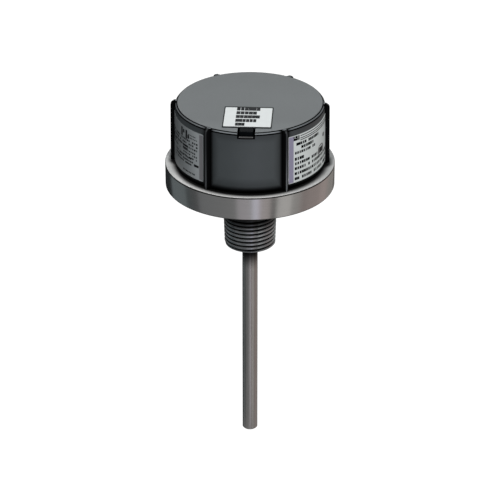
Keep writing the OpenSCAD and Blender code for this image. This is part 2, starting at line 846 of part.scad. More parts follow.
// A label bent round the drafted wall, between two ribs
module rating_label(middle) {
    low = flange_h + side_label_rise;
    high = low + side_label_h;
    rotate([0, 0, middle - side_label_arc / 2]) rotate_extrude(angle = side_label_arc) polygon([
        [wall_r(low), low], [wall_r(low) + label_t, low],
        [wall_r(high) + label_t, high], [wall_r(high), high]]);
}

module rating_label_left() {
    color("gray") rating_label(front - rib_step);
}

module rating_label_right() {
    color("lightgray") rating_label(front + rib_step);
}

process_fitting();
gland_nut();
probe_insulator();
insulator_seal();
rod_seal();
probe_rod();
clamp_washer();
spring_washer();
probe_nut();
probe_contact();
cover_seal();
board_standoffs();
circuit_board();
board_screws();
battery_tray();
battery_terminals();
battery_cell();
radio_module();
antenna();
microcontroller();
crystal();
storage_capacitor();
service_plug();
reed_board();
reed_switch();
cover();
magnet();
instruction_label();
rating_label_left();
rating_label_right();
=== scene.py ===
"""Level transmitter: fine shapes and finishes around its packed solids, laid out as an add-on.

Metres, +Z up, in the frame of the packed model. The thread axis is Z, the flange's underside is
at z = 0, and the front, where the magnet sits in the cover's rim, faces -Y.
"""

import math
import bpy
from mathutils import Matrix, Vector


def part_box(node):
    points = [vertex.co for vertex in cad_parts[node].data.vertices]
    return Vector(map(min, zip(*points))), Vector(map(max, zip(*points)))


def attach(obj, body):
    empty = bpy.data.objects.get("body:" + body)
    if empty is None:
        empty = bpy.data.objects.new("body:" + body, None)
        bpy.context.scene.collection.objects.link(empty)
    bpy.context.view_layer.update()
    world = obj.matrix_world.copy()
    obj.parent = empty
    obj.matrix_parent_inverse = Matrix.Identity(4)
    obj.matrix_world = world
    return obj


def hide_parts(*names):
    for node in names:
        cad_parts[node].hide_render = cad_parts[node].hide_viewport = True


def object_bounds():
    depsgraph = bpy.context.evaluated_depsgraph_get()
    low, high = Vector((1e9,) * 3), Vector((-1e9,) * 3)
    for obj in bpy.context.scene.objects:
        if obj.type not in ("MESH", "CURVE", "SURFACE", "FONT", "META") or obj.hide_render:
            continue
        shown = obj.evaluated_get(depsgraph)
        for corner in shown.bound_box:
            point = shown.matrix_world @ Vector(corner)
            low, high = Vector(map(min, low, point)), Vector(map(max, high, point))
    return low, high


bl_info = {
    "name": "Level Transmitter",
    "version": (1, 0, 0),
    "blender": (4, 5, 0),
    "location": "3D View > Sidebar > Transmitter",
    "description": "Builds a screw-in level transmitter around its packed solids",
    "category": "Add Mesh",
}

import bmesh
import bpy
from bpy.props import FloatProperty, FloatVectorProperty, IntProperty, PointerProperty
from mathutils import Matrix, Vector

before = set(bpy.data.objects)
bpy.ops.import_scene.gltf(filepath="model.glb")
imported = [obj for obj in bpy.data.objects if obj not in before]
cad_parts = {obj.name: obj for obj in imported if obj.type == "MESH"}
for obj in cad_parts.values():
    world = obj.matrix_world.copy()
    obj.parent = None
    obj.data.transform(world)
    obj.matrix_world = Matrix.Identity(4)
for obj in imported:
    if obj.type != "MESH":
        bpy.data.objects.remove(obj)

MM = 0.001
CAD_BOX = [list(corner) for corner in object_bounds()]
LOW = {node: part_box(node)[0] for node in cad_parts}
HIGH = {node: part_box(node)[1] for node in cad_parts}
FIXED_BODY = "transmitter"
COVER_BODY = "cover"
COVER_FOOT = LOW["cover"].z
COVER_TOP = HIGH["cover"].z
FITTING_END = LOW["process_fitting"].z
# Steps around everything that is turned: a multiple of 6 for the hexagon and of 4 for the axes
SEGMENTS = 144
# Two corners closer than this are one corner
WELD = 2e-6
# The front's angle around Z
FRONT = math.radians(270)
# Radius on the edges of what is turned
TURNED_EDGE = 0.12 * MM
# Painted shade: how black the cover is painted at each corner of its plan, from a rib's middle out
# along the wall, for the shade on the ribs and beside them
RIB_SHADE = (0.52, 0.62, 0.8, 0.88, 0.88, 0.88, 0.88, 0.9, 0.93, 0.95, 0.3, 0.12)


# Properties

def length(name, description, metres):
    """A length that the user can change, shown in the scene's units."""
    return FloatProperty(name=name, description=description, default=metres, min=0,
                         subtype="DISTANCE", unit="LENGTH", precision=5)


def colour(name, description, rgb):
    """A colour that the user can change."""
    return FloatVectorProperty(name=name, description=description, default=rgb,
                               subtype="COLOR", size=3, min=0, max=1)


def angle(name, description, degrees):
    """An angle that the user can change."""
    return FloatProperty(name=name, description=description, default=math.radians(degrees),
                         subtype="ANGLE")


class FittingSizes(bpy.types.PropertyGroup):
    """Sizes of the turned fitting."""

    flange_radius: length("Flange radius", "Radius of the flange", HIGH["process_fitting"].x)
    flange_top: length("Flange top", "Height of the flange's upper face", COVER_FOOT)
    flange_chamfer: length("Flange chamfer", "Chamfer on the flange's outer edges", 0.2 * MM)
    ring_radius: length("Ring radius", "Radius of the ring inside the cover", 27.6 * MM)
    ring_wall: length("Ring wall", "Wall of that ring", 3.2 * MM)
    ring_top: length("Ring top", "Height of the ring's top", HIGH["process_fitting"].z)
    ring_bevel: length("Ring bevel", "Lead-in on the ring's upper edge", 0.8 * MM)
    groove_rise: length("Groove rise", "Height of the seal's groove above the flange", 1.1 * MM)
    groove_width: length("Groove width", "Width of that groove", 2.3 * MM)
    groove_radius: length("Groove radius", "Radius at the bottom of that groove",
                          HIGH["cover_seal"].x - 1.9 * MM)
    well_floor: length("Well floor", "Height of the floor of the well", 6 * MM)
    boss_radius: length("Boss radius", "Radius of the boss around the gland nut", 11.5 * MM)
    gland_radius: length("Gland radius", "Radius of the bore for the gland nut", 8.5 * MM)
    gland_top: length("Gland top", "Height of the boss", HIGH["gland_nut"].z)
    seat: length("Seat", "Height of the seat of the insulator's head", 1.5 * MM)
    bore_radius: length("Bore radius", "Radius of the bore for the insulator", 6 * MM)
    hexagon_flats: length("Hexagon", "Size of the hexagon across its flats", 25.4 * MM)
    hexagon_height: length("Hexagon height", "Height of the hexagon", 7 * MM)
    neck_height: length("Neck height", "Height of the neck above the thread", 2.2 * MM)
    neck_depth: length("Neck depth", "Depth of the neck below the crests", 1.3 * MM)
    pitch: length("Pitch", "Rise of the thread for each turn", 25.4 * MM / 14)
    crest_radius: length("Crest radius", "Radius over the crests at the lower end", 10.45 * MM)
    thread_depth: length("Thread depth", "Depth of the thread", 1.15 * MM)
    end_bevel: length("End bevel", "Bevel around the thread's lower end", 0.3 * MM)
    thread_start: angle("Thread start", "Angle where the thread starts", 82.5)
    screw_circle: length("Screw circle", "From the axis to the standoffs' holes", 20.05 * MM)
    hole_radius: length("Hole radius", "Radius of those holes", 1.55 * MM)
    crest_share: FloatProperty(name="Crest share", description="Share of the pitch on the crest",
                               default=0.3, min=0.05, max=0.6, subtype="FACTOR")
    taper: FloatProperty(name="Taper", description="Growth in diameter for each unit of length",
                         default=1 / 16, min=0)


class CoverSizes(bpy.types.PropertyGroup):
    """Sizes of the moulded cover and its ribs."""

    foot_radius: length("Foot radius", "Radius of the cover at its foot", 30.3 * MM)
    draft: length("Draft", "Loss in radius from the foot to the top", 0.3 * MM)
    wall: length("Wall", "Wall at the foot", 2.4 * MM)
    step: length("Step", "Step where the inner wall narrows", 0.3 * MM)
    step_height: length("Step height", "Height of that step", 18 * MM)
    top_thickness: length("Top thickness", "Thickness of the top", 2.6 * MM)
    mouth_chamfer: length("Mouth chamfer", "Chamfer inside the mouth", 0.5 * MM)
    rim_run: length("Rim run", "Width of the bevel around the top", 0.8 * MM)
    rim_drop: length("Rim drop", "Height of that bevel", 0.9 * MM)
    inner_fillet: length("Inner fillet", "Radius between inner wall and ceiling", 1.2 * MM)
    rib_width: length("Rib width", "Width of a rib where it leaves the wall", 2 * MM)
    rib_face: length("Rib face", "Width of a rib's outer face", 1.4 * MM)
    rib_proud: length("Rib height", "How far a rib stands out", 1.85 * MM)
    rib_corner: length("Rib corner", "Radius on the top corner of a rib", 1.8 * MM)
    rib_edge: length("Rib edge", "Radius on the long edges of a rib", 0.3 * MM)
    rib_count: IntProperty(name="Ribs", description="Number of ribs", default=6, min=3, max=12)
    notch_gap: length("Notch gap", "Gap on each side of the magnet", 0.8 * MM)
    notch_floor: length("Notch floor", "Floor under the magnet's notch", 1.6 * MM)
    key_width: length("Key width", "Width of the key inside the cover", 3 * MM)
    key_reach: length("Key reach", "How far the key reaches into the ring", 1.3 * MM)
    key_length: length("Key length", "Length of the key", 5.5 * MM)
    colour: colour("Cover colour", "Colour of the moulded cover", (0.030, 0.033, 0.035))


class LabelSizes(bpy.types.PropertyGroup):
    """Sizes and colours of the three labels and of the plain bars on them."""

    film: length("Film", "Thickness of the film", 0.15 * MM)
    ink: length("Ink", "Height of the print above the film", 0.02 * MM)
    border: length("Border", "Dark line at the sides of the top label", 0.45 * MM)
    corner: length("Corner", "Radius on a label's corners", 0.4 * MM)
    arc: angle("Arc", "Arc of wall under a side label", 53)
    strip_left: length("Left strip", "Width of the pale strip on the left label", 1.8 * MM)
    strip_right: length("Right strip", "Width of the violet strip on the right label", 2.2 * MM)
    trim: length("Trim", "Cut off the left label beside the front rib", 0.5 * MM)
    spare: length("Spare", "Added to the right label beside the front rib", 0.25 * MM)
    white: colour("White film", "Film of the label on the top", (0.54, 0.56, 0.56))
    # Painted shade: the left label is the same silver film as the right one, and this darker
    # colour stands for the shade on its side
    grey: colour("Grey film", "Film of the left label", (0.14, 0.151, 0.157))
    silver: colour("Silver film", "Film of the right label", (0.475, 0.505, 0.5))
    violet: colour("Violet", "Strip on the right label", (0.19, 0.18, 0.25))
    pale: colour("Pale strip", "Strip on the left label", (0.13, 0.13, 0.14))


class StudioSettings(bpy.types.PropertyGroup):
    """The camera's place and the light."""

    azimuth: angle("Azimuth", "Camera's angle from the front", 3.0)
    elevation: angle("Elevation", "Camera's angle above level", 28.14)
    distance: length("Distance", "From the camera to the point that it looks at", 0.9766)
    target: FloatProperty(name="Target height", description="Height of the point looked at",
                          default=-31.53 * MM, subtype="DISTANCE", unit="LENGTH")
    lens: FloatProperty(name="Lens", description="Focal length in millimetres",
                        default=170.4, min=1)
    floor_drop: length("Floor drop", "Distance from the rod's tip down to the floor", 0.9)
    sky: FloatProperty(name="Sky", description="Strength of the light from all around",
                       default=0.35, min=0)


GROUPS = {"transmitter_fitting": FittingSizes, "transmitter_cover": CoverSizes,
          "transmitter_labels": LabelSizes, "transmitter_studio": StudioSettings}


# Node trees

def step(operation, swapped=False):
    """A method of Link that does one step of arithmetic with a Math node."""
    def method(self, *others):
        values = (*others, self) if swapped else (self, *others)
        return self.make.add("ShaderNodeMath", dict(enumerate(values)), operation=operation)
    return method


class Link:
    """One output in a node tree. Numbers take the signs of arithmetic."""

    def __init__(self, make, socket):
        self.make = make
        self.socket = socket

    __add__ = step("ADD")
    __sub__ = step("SUBTRACT")
    __rsub__ = step("SUBTRACT", swapped=True)
    __mul__ = step("MULTIPLY")
    __truediv__ = step("DIVIDE")
    __gt__ = step("GREATER_THAN")
    __lt__ = step("LESS_THAN")
    __abs__ = step("ABSOLUTE")
    at_least = step("MAXIMUM")
    at_most = step("MINIMUM")
    floor = step("FLOOR")
    fraction = step("FRACT")
    root = step("SQRT")
    sine = step("SINE")
    cosine = step("COSINE")

    def remap(self, low, high, start=0.0, end=1.0, kind="LINEAR"):
        """Start up to the low value, end from the high one, and straight between them."""
        return self.make.add("ShaderNodeMapRange", {0: self, 1: low, 2: high, 3: start, 4: end},
                             interpolation_type=kind)

    def fade(self, low, high, start=0.0, end=1.0):
        """The same with a soft start and end."""
        return self.remap(low, high, start, end, "SMOOTHSTEP")

    def spread(self, low, high):
        """Takes noise, most of which lies between 0.3 and 0.7, to this range."""
        return self.remap(0.3, 0.7, low, high)

    def line(self, middle, half_width, strength):
        """A soft dark line: 1 away from the middle value, and less by the strength on it."""
        return abs(self - middle).fade(half_width * 0.6, half_width, 1.0 - strength, 1.0)

    def only(self, mask):
        """This number where the mask is 1, and 1 elsewhere."""
        return mask * self + (1.0 - mask)


class TreeMaker:
    """Short calls that add nodes to one tree, and set or link their inputs."""

    def __init__(self, tree):
        self.tree = tree

    def give(self, socket, value):
        if isinstance(value, Link):
            self.tree.links.new(value.socket, socket)
        else:
            socket.default_value = (*value, 1) if socket.type == "RGBA" else value

    def add(self, kind, inputs=(), output=0, **settings):
        """A new node's output, or nothing where the node has none."""
        node = self.tree.nodes.new(kind)
        for name, value in settings.items():
            setattr(node, name, value)
        for key, value in dict(inputs).items():
            self.give(node.inputs[key], value)
        return Link(self, node.outputs[output]) if node.outputs else None

    def mix(self, factor, first, second, blend="MIX"):
        """Mixes two colours. Sockets 6 and 7 are the colours A and B."""
        return self.add("ShaderNodeMix", {0: factor, 6: first, 7: second}, 2,
                        data_type="RGBA", blend_type=blend)

    def split(self, vector):
        """The three parts of a vector."""
        node = self.tree.nodes.new("ShaderNodeSeparateXYZ")
        self.give(node.inputs[0], vector)
        return [Link(self, socket) for socket in node.outputs]

    def join(self, x, y, z):
        return self.add("ShaderNodeCombineXYZ", {0: x, 1: y, 2: z})


def geometry_tree(name, takes_mesh=False, **kinds):
    """A new geometry tree with named inputs, listed by kind, and what they give."""
    tree = bpy.data.node_groups.new(name, "GeometryNodeTree")
    tree.interface.new_socket("Geometry", in_out="OUTPUT", socket_type="NodeSocketGeometry")
    inputs = {"Geometry": ["Geometry"] * takes_mesh, **kinds, "Material": ["Material"]}
    for kind, titles in inputs.items():
        for title in titles:
            tree.interface.new_socket(title, in_out="INPUT", socket_type="NodeSocket" + kind)
    make = TreeMaker(tree)
    given = {out.name: Link(make, out) for out in tree.nodes.new("NodeGroupInput").outputs}
    return make, given


def close_tree(make, given, geometry):
    """Ends a geometry tree: real mesh, one material, out."""
    real = make.add("GeometryNodeRealizeInstances", {"Geometry": geometry})
    dressed = make.add("GeometryNodeSetMaterial",
                       {"Geometry": real, "Material": given["Material"]})
    make.add("NodeGroupOutput", {0: dressed})
    return make.tree


def run_tree(tree, values, mesh=None):
    """Runs a geometry tree on a mesh with these values, and gives the plain mesh that it makes."""
    holder = new_object(tree.name, mesh or bpy.data.meshes.new(tree.name))
    modifier = holder.modifiers.new(tree.name, "NODES")
    modifier.node_group = tree
    for item in tree.interface.items_tree:
        if item.in_out == "INPUT" and item.name in values:
            modifier[item.identifier] = values[item.name]
    return plain_mesh(holder)


def new_object(name, data):
    """A new object in the scene, at the origin."""
    made = bpy.data.objects.new(name, data)
    bpy.context.scene.collection.objects.link(made)
    return made


def plain_mesh(holder):
    """The mesh that an object's modifiers make. The object and its modifiers are removed."""
    graph = bpy.context.evaluated_depsgraph_get()
    made = bpy.data.meshes.new_from_object(holder.evaluated_get(graph))
    holder.modifiers.clear()
    bpy.data.objects.remove(holder)
    return made


# Meshes

def arc(x, z, radius, start, end, steps=6):
    """Points along an arc, with its angles in degrees."""
    turns = [math.radians(start + (end - start) * i / steps) for i in range(steps + 1)]
    return [(x + radius * math.cos(turn), z + radius * math.sin(turn)) for turn in turns]


def round_off(full, corner, over):
    """A length cut back by a round corner, at a place this far past the corner's start."""
    if over <= 0:
        return full
    return full - corner + math.sqrt(max(corner ** 2 - over ** 2, 0))


def soften(outline, radius):
    """An open outline with round corners, each taking at most a third of the sides beside it."""
    soft = [outline[0]]
    for before, point, after in zip(outline, outline[1:], outline[2:]):
        corner = Vector(point)
        back = Vector(before) - corner
        on = Vector(after) - corner
        reach = min(radius, back.length / 3, on.length / 3)
        start = corner + back.normalized() * reach
        end = corner + on.normalized() * reach
        for t in (0, 1 / 3, 2 / 3, 1):
            soft.append(tuple(start * (1 - t) ** 2 + corner * 2 * t * (1 - t) + end * t * t))
    return soft + [outline[-1]]


def bridge(bm, rings, wrap=True):
    """Faces between rings of corners, each ring a list of equal length or a single corner."""
    for lower, upper in zip(rings, rings[1:]):
        count = max(len(lower), len(upper))
        for i in range(count if wrap else count - 1):
            j = (i + 1) % count
            around = [lower[i % len(lower)], lower[j % len(lower)],
                      upper[j % len(upper)], upper[i % len(upper)]]
            corners = list(dict.fromkeys(around))
            if len(corners) > 2:
                bm.faces.new(corners)


def lathe(bm, profile, segments=SEGMENTS):
    """Revolves (radius, height) pairs around Z. A radius may be a function of the angle."""
    turns = [2 * math.pi * i / segments for i in range(segments)]
    rings = []
    for radius, height in profile:
        if not callable(radius) and radius < WELD:
            rings.append([bm.verts.new((0, 0, height))])
            continue
        ring = []
        for turn in turns:
            reach = radius(turn) if callable(radius) else radius
            ring.append(bm.verts.new((reach * math.cos(turn), reach * math.sin(turn), height)))
        rings.append(ring)
    bridge(bm, rings)


def box_mesh(name, low, high):
    """A plain block between two corners."""
    bm = bmesh.new()
    size = Vector(high) - Vector(low)
    place = Matrix.Translation((Vector(high) + Vector(low)) / 2)
    bmesh.ops.create_cube(bm, size=1, matrix=place @ Matrix.Diagonal((*size, 1)))
    return to_mesh(bm, name)


def to_mesh(bm, name):
    mesh = bpy.data.meshes.new(name)
    bm.to_mesh(mesh)
    bm.free()
    return mesh


def weld(mesh):
    """Merges corners that lie together and drops faces that have no area."""
    bm = bmesh.new()
    bm.from_mesh(mesh)
    bmesh.ops.remove_doubles(bm, verts=bm.verts, dist=WELD)
    bmesh.ops.dissolve_degenerate(bm, edges=bm.edges, dist=WELD / 4)
    bm.to_mesh(mesh)
    bm.free()
    return mesh


def combine(mesh, operation, *tools):
    """Joins or cuts a mesh with others, in order."""
    holder = new_object("work", mesh)
    helpers = [new_object("tool", tool) for tool in tools]
    for helper in helpers:
        modifier = holder.modifiers.new(operation, "BOOLEAN")
        modifier.operation = operation
        modifier.solver = "EXACT"
        modifier.object = helper
    made = plain_mesh(holder)
    for helper in helpers:
        bpy.data.objects.remove(helper)
    return made


def shade(mesh, degrees=32):
    """Smooth shading, with edges sharper than this left sharp."""
    for face in mesh.polygons:
        face.use_smooth = True
    mesh.set_sharp_from_angle(angle=math.radians(degrees))
    return mesh


def make_piece(name, mesh, materials, body, node):
    """Links a finished mesh as a piece that rides on a body and stands for a node."""
    while len(mesh.materials) > len(materials):
        mesh.materials.pop()
    for index, material in enumerate(materials):
        if index == len(mesh.materials):
            mesh.materials.append(material)
        mesh.materials[index] = material
    piece = new_object(name, mesh)
    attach(piece, body)
    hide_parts(node)


# Finishes

class Finish(TreeMaker):
    """A material with one Principled shader, made over the object's coordinates."""

    def __init__(self, name, base, roughness, metallic=0.0, gloss=0.5):
        self.material = bpy.data.materials.new(name)
        self.material.use_nodes = True
        self.material.diffuse_color = (*base, 1)
        super().__init__(self.material.node_tree)
        self.tree.nodes.clear()
        self.shader = self.tree.nodes.new("ShaderNodeBsdfPrincipled")
        self.add("ShaderNodeOutputMaterial", {0: Link(self, self.shader.outputs[0])})
        self.base = base
        self.roughness = roughness
        self.set("Base Color", base)
        self.set("Roughness", roughness)
        self.set("Metallic", metallic)
        self.set("Specular IOR Level", gloss)
        self.point = self.add("ShaderNodeTexCoord", output="Object")

    def set(self, socket, value):
        self.give(self.shader.inputs[socket], value)

    def attribute(self, name):
        return self.add("ShaderNodeAttribute", output="Fac", attribute_name=name)

    def up(self):
        """How far the surface faces up, from -1 to 1."""
        return self.split(self.add("ShaderNodeTexCoord", output="Normal"))[2]

    def noise(self, scale, detail=3.0, vector=None, roughness=0.55):
        return self.add("ShaderNodeTexNoise", {
            "Vector": vector or self.point, "Scale": scale, "Detail": detail,
            "Roughness": roughness})

    def paint(self, tone, base=None):
        """Sets the base colour, times a tone."""
        self.set("Base Color", self.mix(1.0, base or self.base, tone, "MULTIPLY"))

    def bump(self, height, depth, strength):
        """Bumps of a depth in mm."""
        self.set("Normal", self.add("ShaderNodeBump", {
            "Height": height, "Distance": depth * MM, "Strength": strength}))

    def done(self, tone, grain, less, more, depth, strength):
        """The finished material: a tone on its colour, and a grain that roughens and bumps."""
        self.paint(tone)
        self.set("Roughness", grain.spread(self.roughness - less, self.roughness + more))
        self.bump(grain, depth, strength)
        return self.material


def reach_of(x, y):
    """Distance from the axis."""
    return (x * x + y * y).root()


def fitting_steel(sizes, cover_radius):
    """Turned stainless steel: fine tool rings, faces duller than the sides, painted shade in the
    thread's roots and under the flange, and painted shade, reflection and highlight on the
    flange's top.
    """
    side = (0.53, 0.525, 0.515)
    make = Finish("turned stainless", side, 0.2, 1.0)
    x, y, z = make.split(make.point)
    reach = reach_of(x, y)
    lines = make.noise(2600.0, 4.0, make.join(reach, 0.0, z))
    cloud = make.noise(60.0, 2.0)
    face = abs(make.up()).fade(0.85, 0.97)
    # The thread: painted shade in its roots, under the flange and towards its lower end
    below = z < -0.1 * MM
    shadow = z.fade(-19.4 * MM, -13.2 * MM, 0.86, 0.06) * z.fade(-27 * MM, -20.5 * MM, 0.76, 1.0)
    tone = lines.spread(0.96, 1.03) * make.attribute("depth").fade(0.1, 0.55, 1.0, 0.06)
    tone = tone * shadow.only(below)
    # Painted shade: dark lines along the flange's two edges
    rim = reach > sizes.flange_radius - 0.6 * MM
    for middle in (0.1 * MM, sizes.flange_top - sizes.flange_chamfer - 0.15 * MM):
        tone = tone * z.line(middle, 0.32 * MM, 0.85).only(rim)
    # The flange's top: painted shadow and painted reflection of the black cover make it dark
    # around the cover's foot, and a painted highlight makes it bright along its edge and towards
    # the front
    aside = abs(y)
    off = abs(reach - cover_radius) + aside.remap(4 * MM, 31 * MM, 0.7 * MM, -0.7 * MM)
    off = off + aside.fade(2 * MM, 6.5 * MM, -1.7 * MM, 0.0)
    off = off + x.fade(-31 * MM, -24 * MM, 0.45 * MM, 0.0)
    clear = off.fade(0.6 * MM, 3.3 * MM) * aside.fade(8 * MM, 22 * MM, 0.98, 1.42)
    clear = clear * x.fade(8 * MM, 25 * MM, 1.0, 0.78) * y.line(10 * MM, 9 * MM, 0.45)
    on_top = face * (reach > cover_radius - 4 * MM) * (z > sizes.flange_top - 1 * MM)
    turned = make.mix(below, side, (0.5, 0.525, 0.54))
    make.paint(tone * clear.only(on_top), make.mix(face, turned, (0.52, 0.52, 0.515)))
    make.set("Metallic", face.remap(0.0, 1.0, 1.0, 0.3))
    make.set("Roughness", lines.spread(-0.02, 0.03) + cloud.spread(-0.02, 0.03)
             + face.remap(0.0, 1.0, 0.17, 0.6))
    make.bump(lines, 0.0015, 0.15)
    return make.material


def drawn_steel(name, base, roughness):
    """Bar stock: a fine grain along Z, and dark in the shade under the fitting."""
    make = Finish(name, base, roughness, 1.0)
    x, y, z = make.split(make.point)
    grain = make.noise(2400.0, vector=make.join(x, y, z * 0.02))
    shadow = z.fade(FITTING_END - 12.5 * MM, FITTING_END - 4.2 * MM, 1.0, 0.03)
    return make.done(grain.spread(0.9, 1.05) * shadow, grain, 0.05, 0.06, 0.0015, 0.15)


def satin_metal(name, base, roughness, metallic=1.0):
    """Small metal parts and plated sheet, with a fine mottle."""
    make = Finish(name, base, roughness, metallic)
    mottle = make.noise(900.0, 4.0)
    return make.done(mottle.spread(0.88, 1.05), mottle, 0.06, 0.08, 0.006, 0.3)


def moulded_plastic(name, base, roughness, grain=5200.0, depth=0.012, gloss=0.5):
    """Plastic from a mould with a fine spark texture."""
    make = Finish(name, base, roughness, gloss=gloss)
    spark = make.noise(grain, 2.0, roughness=0.6)
    return make.done(make.noise(90.0).spread(0.93, 1.07), spark, 0.04, 0.07, depth, 0.4)


def film(name, base, roughness, gloss=0.5, painted_reflection=None):
    """Printed label film, with a faint unevenness. It may be painted brighter towards one side, as
    a painted reflection.
    """
    make = Finish(name, base, roughness, gloss=gloss)
    soft = make.noise(300.0)
    tone = soft.spread(0.96, 1.02)
    if painted_reflection:
        tone = tone * make.split(make.point)[0].fade(*painted_reflection)
    return make.done(tone, soft, 0.05, 0.07, 0.01, 0.2)


def solder_mask(name, base):
    """Green mask with the copper's lines showing through it, and plated holes."""
    make = Finish(name, base, 0.3)
    x, y, z = make.split(make.point)
    # One of the two boards lies flat and the other stands, so this pair runs across both
    both = (x, y + z)
    grid = 2.6 * MM

    def chance(size, seed):
        """A random number for each square of this size on the board."""
        squares = [(value / size).floor() for value in both]
        return make.add("ShaderNodeTexWhiteNoise", {"Vector": make.join(*squares, seed)})

    turned = chance(grid * 2, 1.0) > 0.5
    across = make.add("ShaderNodeMix", {0: turned, 2: both[0], 3: both[1]}, data_type="FLOAT")
    copper = abs((across / (grid / 2)).fraction() - 0.5).fade(0.14, 0.2, 1.0, 0.0)
    copper = copper * (chance(grid, 2.0) > 0.3)
    reach = reach_of(*[(value / grid).fraction() - 0.5 for value in both])
    drilled = chance(grid, 3.0) > 0.72
    plated = drilled * reach.fade(0.17, 0.2, 1.0, 0.0)
    hole = drilled * reach.fade(0.08, 0.1, 1.0, 0.0)
    tone = make.mix(copper, base, (0.035, 0.21, 0.085))
    tone = make.mix(plated, tone, (0.7, 0.55, 0.25))
    make.set("Base Color", make.mix(hole, tone, (0.01, 0.01, 0.01)))
    make.bump(copper, 0.03, 0.3)
    return make.material


def cover_plastic(sizes):
    """The cover's plastic, with painted shade: black at its foot, on the ribs and along the rim's
    edges.
    """
    base = tuple(sizes.colour)
    make = Finish("cover plastic", base, 0.42)
    x, y, z = make.split(make.point)
    reach = reach_of(x, y)
    spark = make.noise(5200.0, 2.0, roughness=0.6)
    # Painted shade: black at the cover's foot, fading up the wall, and on the ribs from the 'rib'
    # attribute
    painted_shade = z.fade(COVER_FOOT + 0.4 * MM, COVER_FOOT + 4.1 * MM, 1.0, 0.0)
    painted_shade = painted_shade.at_least(z.remap(COVER_FOOT + 2 * MM, COVER_FOOT + 6.5 * MM, 0.3, 0.0))
    painted_shade = painted_shade.at_least(make.attribute("rib"))
    # Painted shade: two dark lines along the edges of the bevel around the top, and a painted
    # highlight on the bevel between them
    rim_foot = COVER_TOP - sizes.rim_drop
    on_rim = z > rim_foot - 0.22 * MM
    edge = sizes.foot_radius - sizes.draft
    for radius in (edge, edge - sizes.rim_run):
        line = abs(reach - radius).fade(0.16 * MM, 0.28 * MM, 1.0, 0.0)
        painted_shade = painted_shade.at_least(on_rim * line)
    bevel = abs(reach - (edge - sizes.rim_run / 2)).fade(0.22 * MM, 0.34 * MM, 1.6, 0.0)
    # Painted shade: the wall is a little darker towards the rim
    on_wall = z < rim_foot
    painted_shade = painted_shade.at_least(z.fade(COVER_TOP - 5 * MM, rim_foot, 0.0, 0.2) * on_wall)
    # Painted shade: the notch is black. A painted highlight makes the ledge in front of the magnet
    # pale
    low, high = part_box("magnet")
    wide = abs(x)
    level = (abs(z - low.z) < 0.05 * MM) * (make.up() > 0.5) * (y < low.y - 0.15 * MM)
    ledge_highlight = level * wide.fade(high.x - 0.1 * MM, high.x + 0.2 * MM, 1.0, 0.0)
    notch = (wide < high.x + sizes.notch_gap) * (y < 0.0)
    notch = notch * (z > low.z - 0.55 * MM) * (z < low.z + 0.06 * MM)
    painted_shade = painted_shade.at_least(notch * (1.0 - ledge_highlight))
    # Painted highlight: the outer edges of the ribs beside the front and the back panel are pale,
    # more on the right and towards the foot
    beside = wide * math.cos(math.pi / 6) - abs(y) * math.sin(math.pi / 6)
    rib_highlight = abs(beside + 0.15 * MM).fade(0.05 * MM, 0.5 * MM, 1.0, 0.0)
    rib_highlight = rib_highlight * x.remap(-10 * MM, 10 * MM, 0.56, 1.0) * (reach > sizes.foot_radius + 0.7 * MM)
    rib_highlight = rib_highlight * z.fade(COVER_FOOT + 4 * MM, COVER_TOP - 5 * MM, 1.0, 0.3)
    # Painted light: the top is a little paler towards the front and a little darker towards the
    # back, and the bevel is painted paler. The walls are a little paler and cooler than the top
    front = y.fade(-27 * MM, -16 * MM, 0.6, 0.0) + y.fade(2 * MM, 28 * MM, 0.0, -0.3)
    mottle = make.noise(70.0).spread(0.94, 1.06) + on_rim * bevel
    mottle = mottle * (front * (1.0 - on_wall) + 1.0)
    cool = make.mix(on_wall, base, (base[0] * 1.16, base[1] * 1.24, base[2] * 1.27))
    plain = make.mix(1.0, cool, mottle, "MULTIPLY")
    shaded = make.mix(painted_shade, plain, (0.0015, 0.0015, 0.0018))
    pale = make.mix(ledge_highlight, shaded, (0.09, 0.09, 0.09))
    make.set("Base Color", make.mix(rib_highlight, pale, (0.09, 0.096, 0.104)))
    make.set("Metallic", painted_shade * (1.0 - rib_highlight))
    make.set("Roughness", spark.spread(0.39, 0.48).at_least(painted_shade))
    make.bump(spark, 0.01, 0.35)
    return make.material


def glowing(name, inputs):
    """A material that only gives light. A function of its maker lists the light's inputs."""
    material = bpy.data.materials.new(name)
    material.use_nodes = True
    material.node_tree.nodes.clear()
    make = TreeMaker(material.node_tree)
    make.add("ShaderNodeOutputMaterial", {0: make.add("ShaderNodeEmission", inputs(make))})
    return material


# Fitting

# Corners of the thread's strip across one pitch
PITCH_COLUMNS = 13


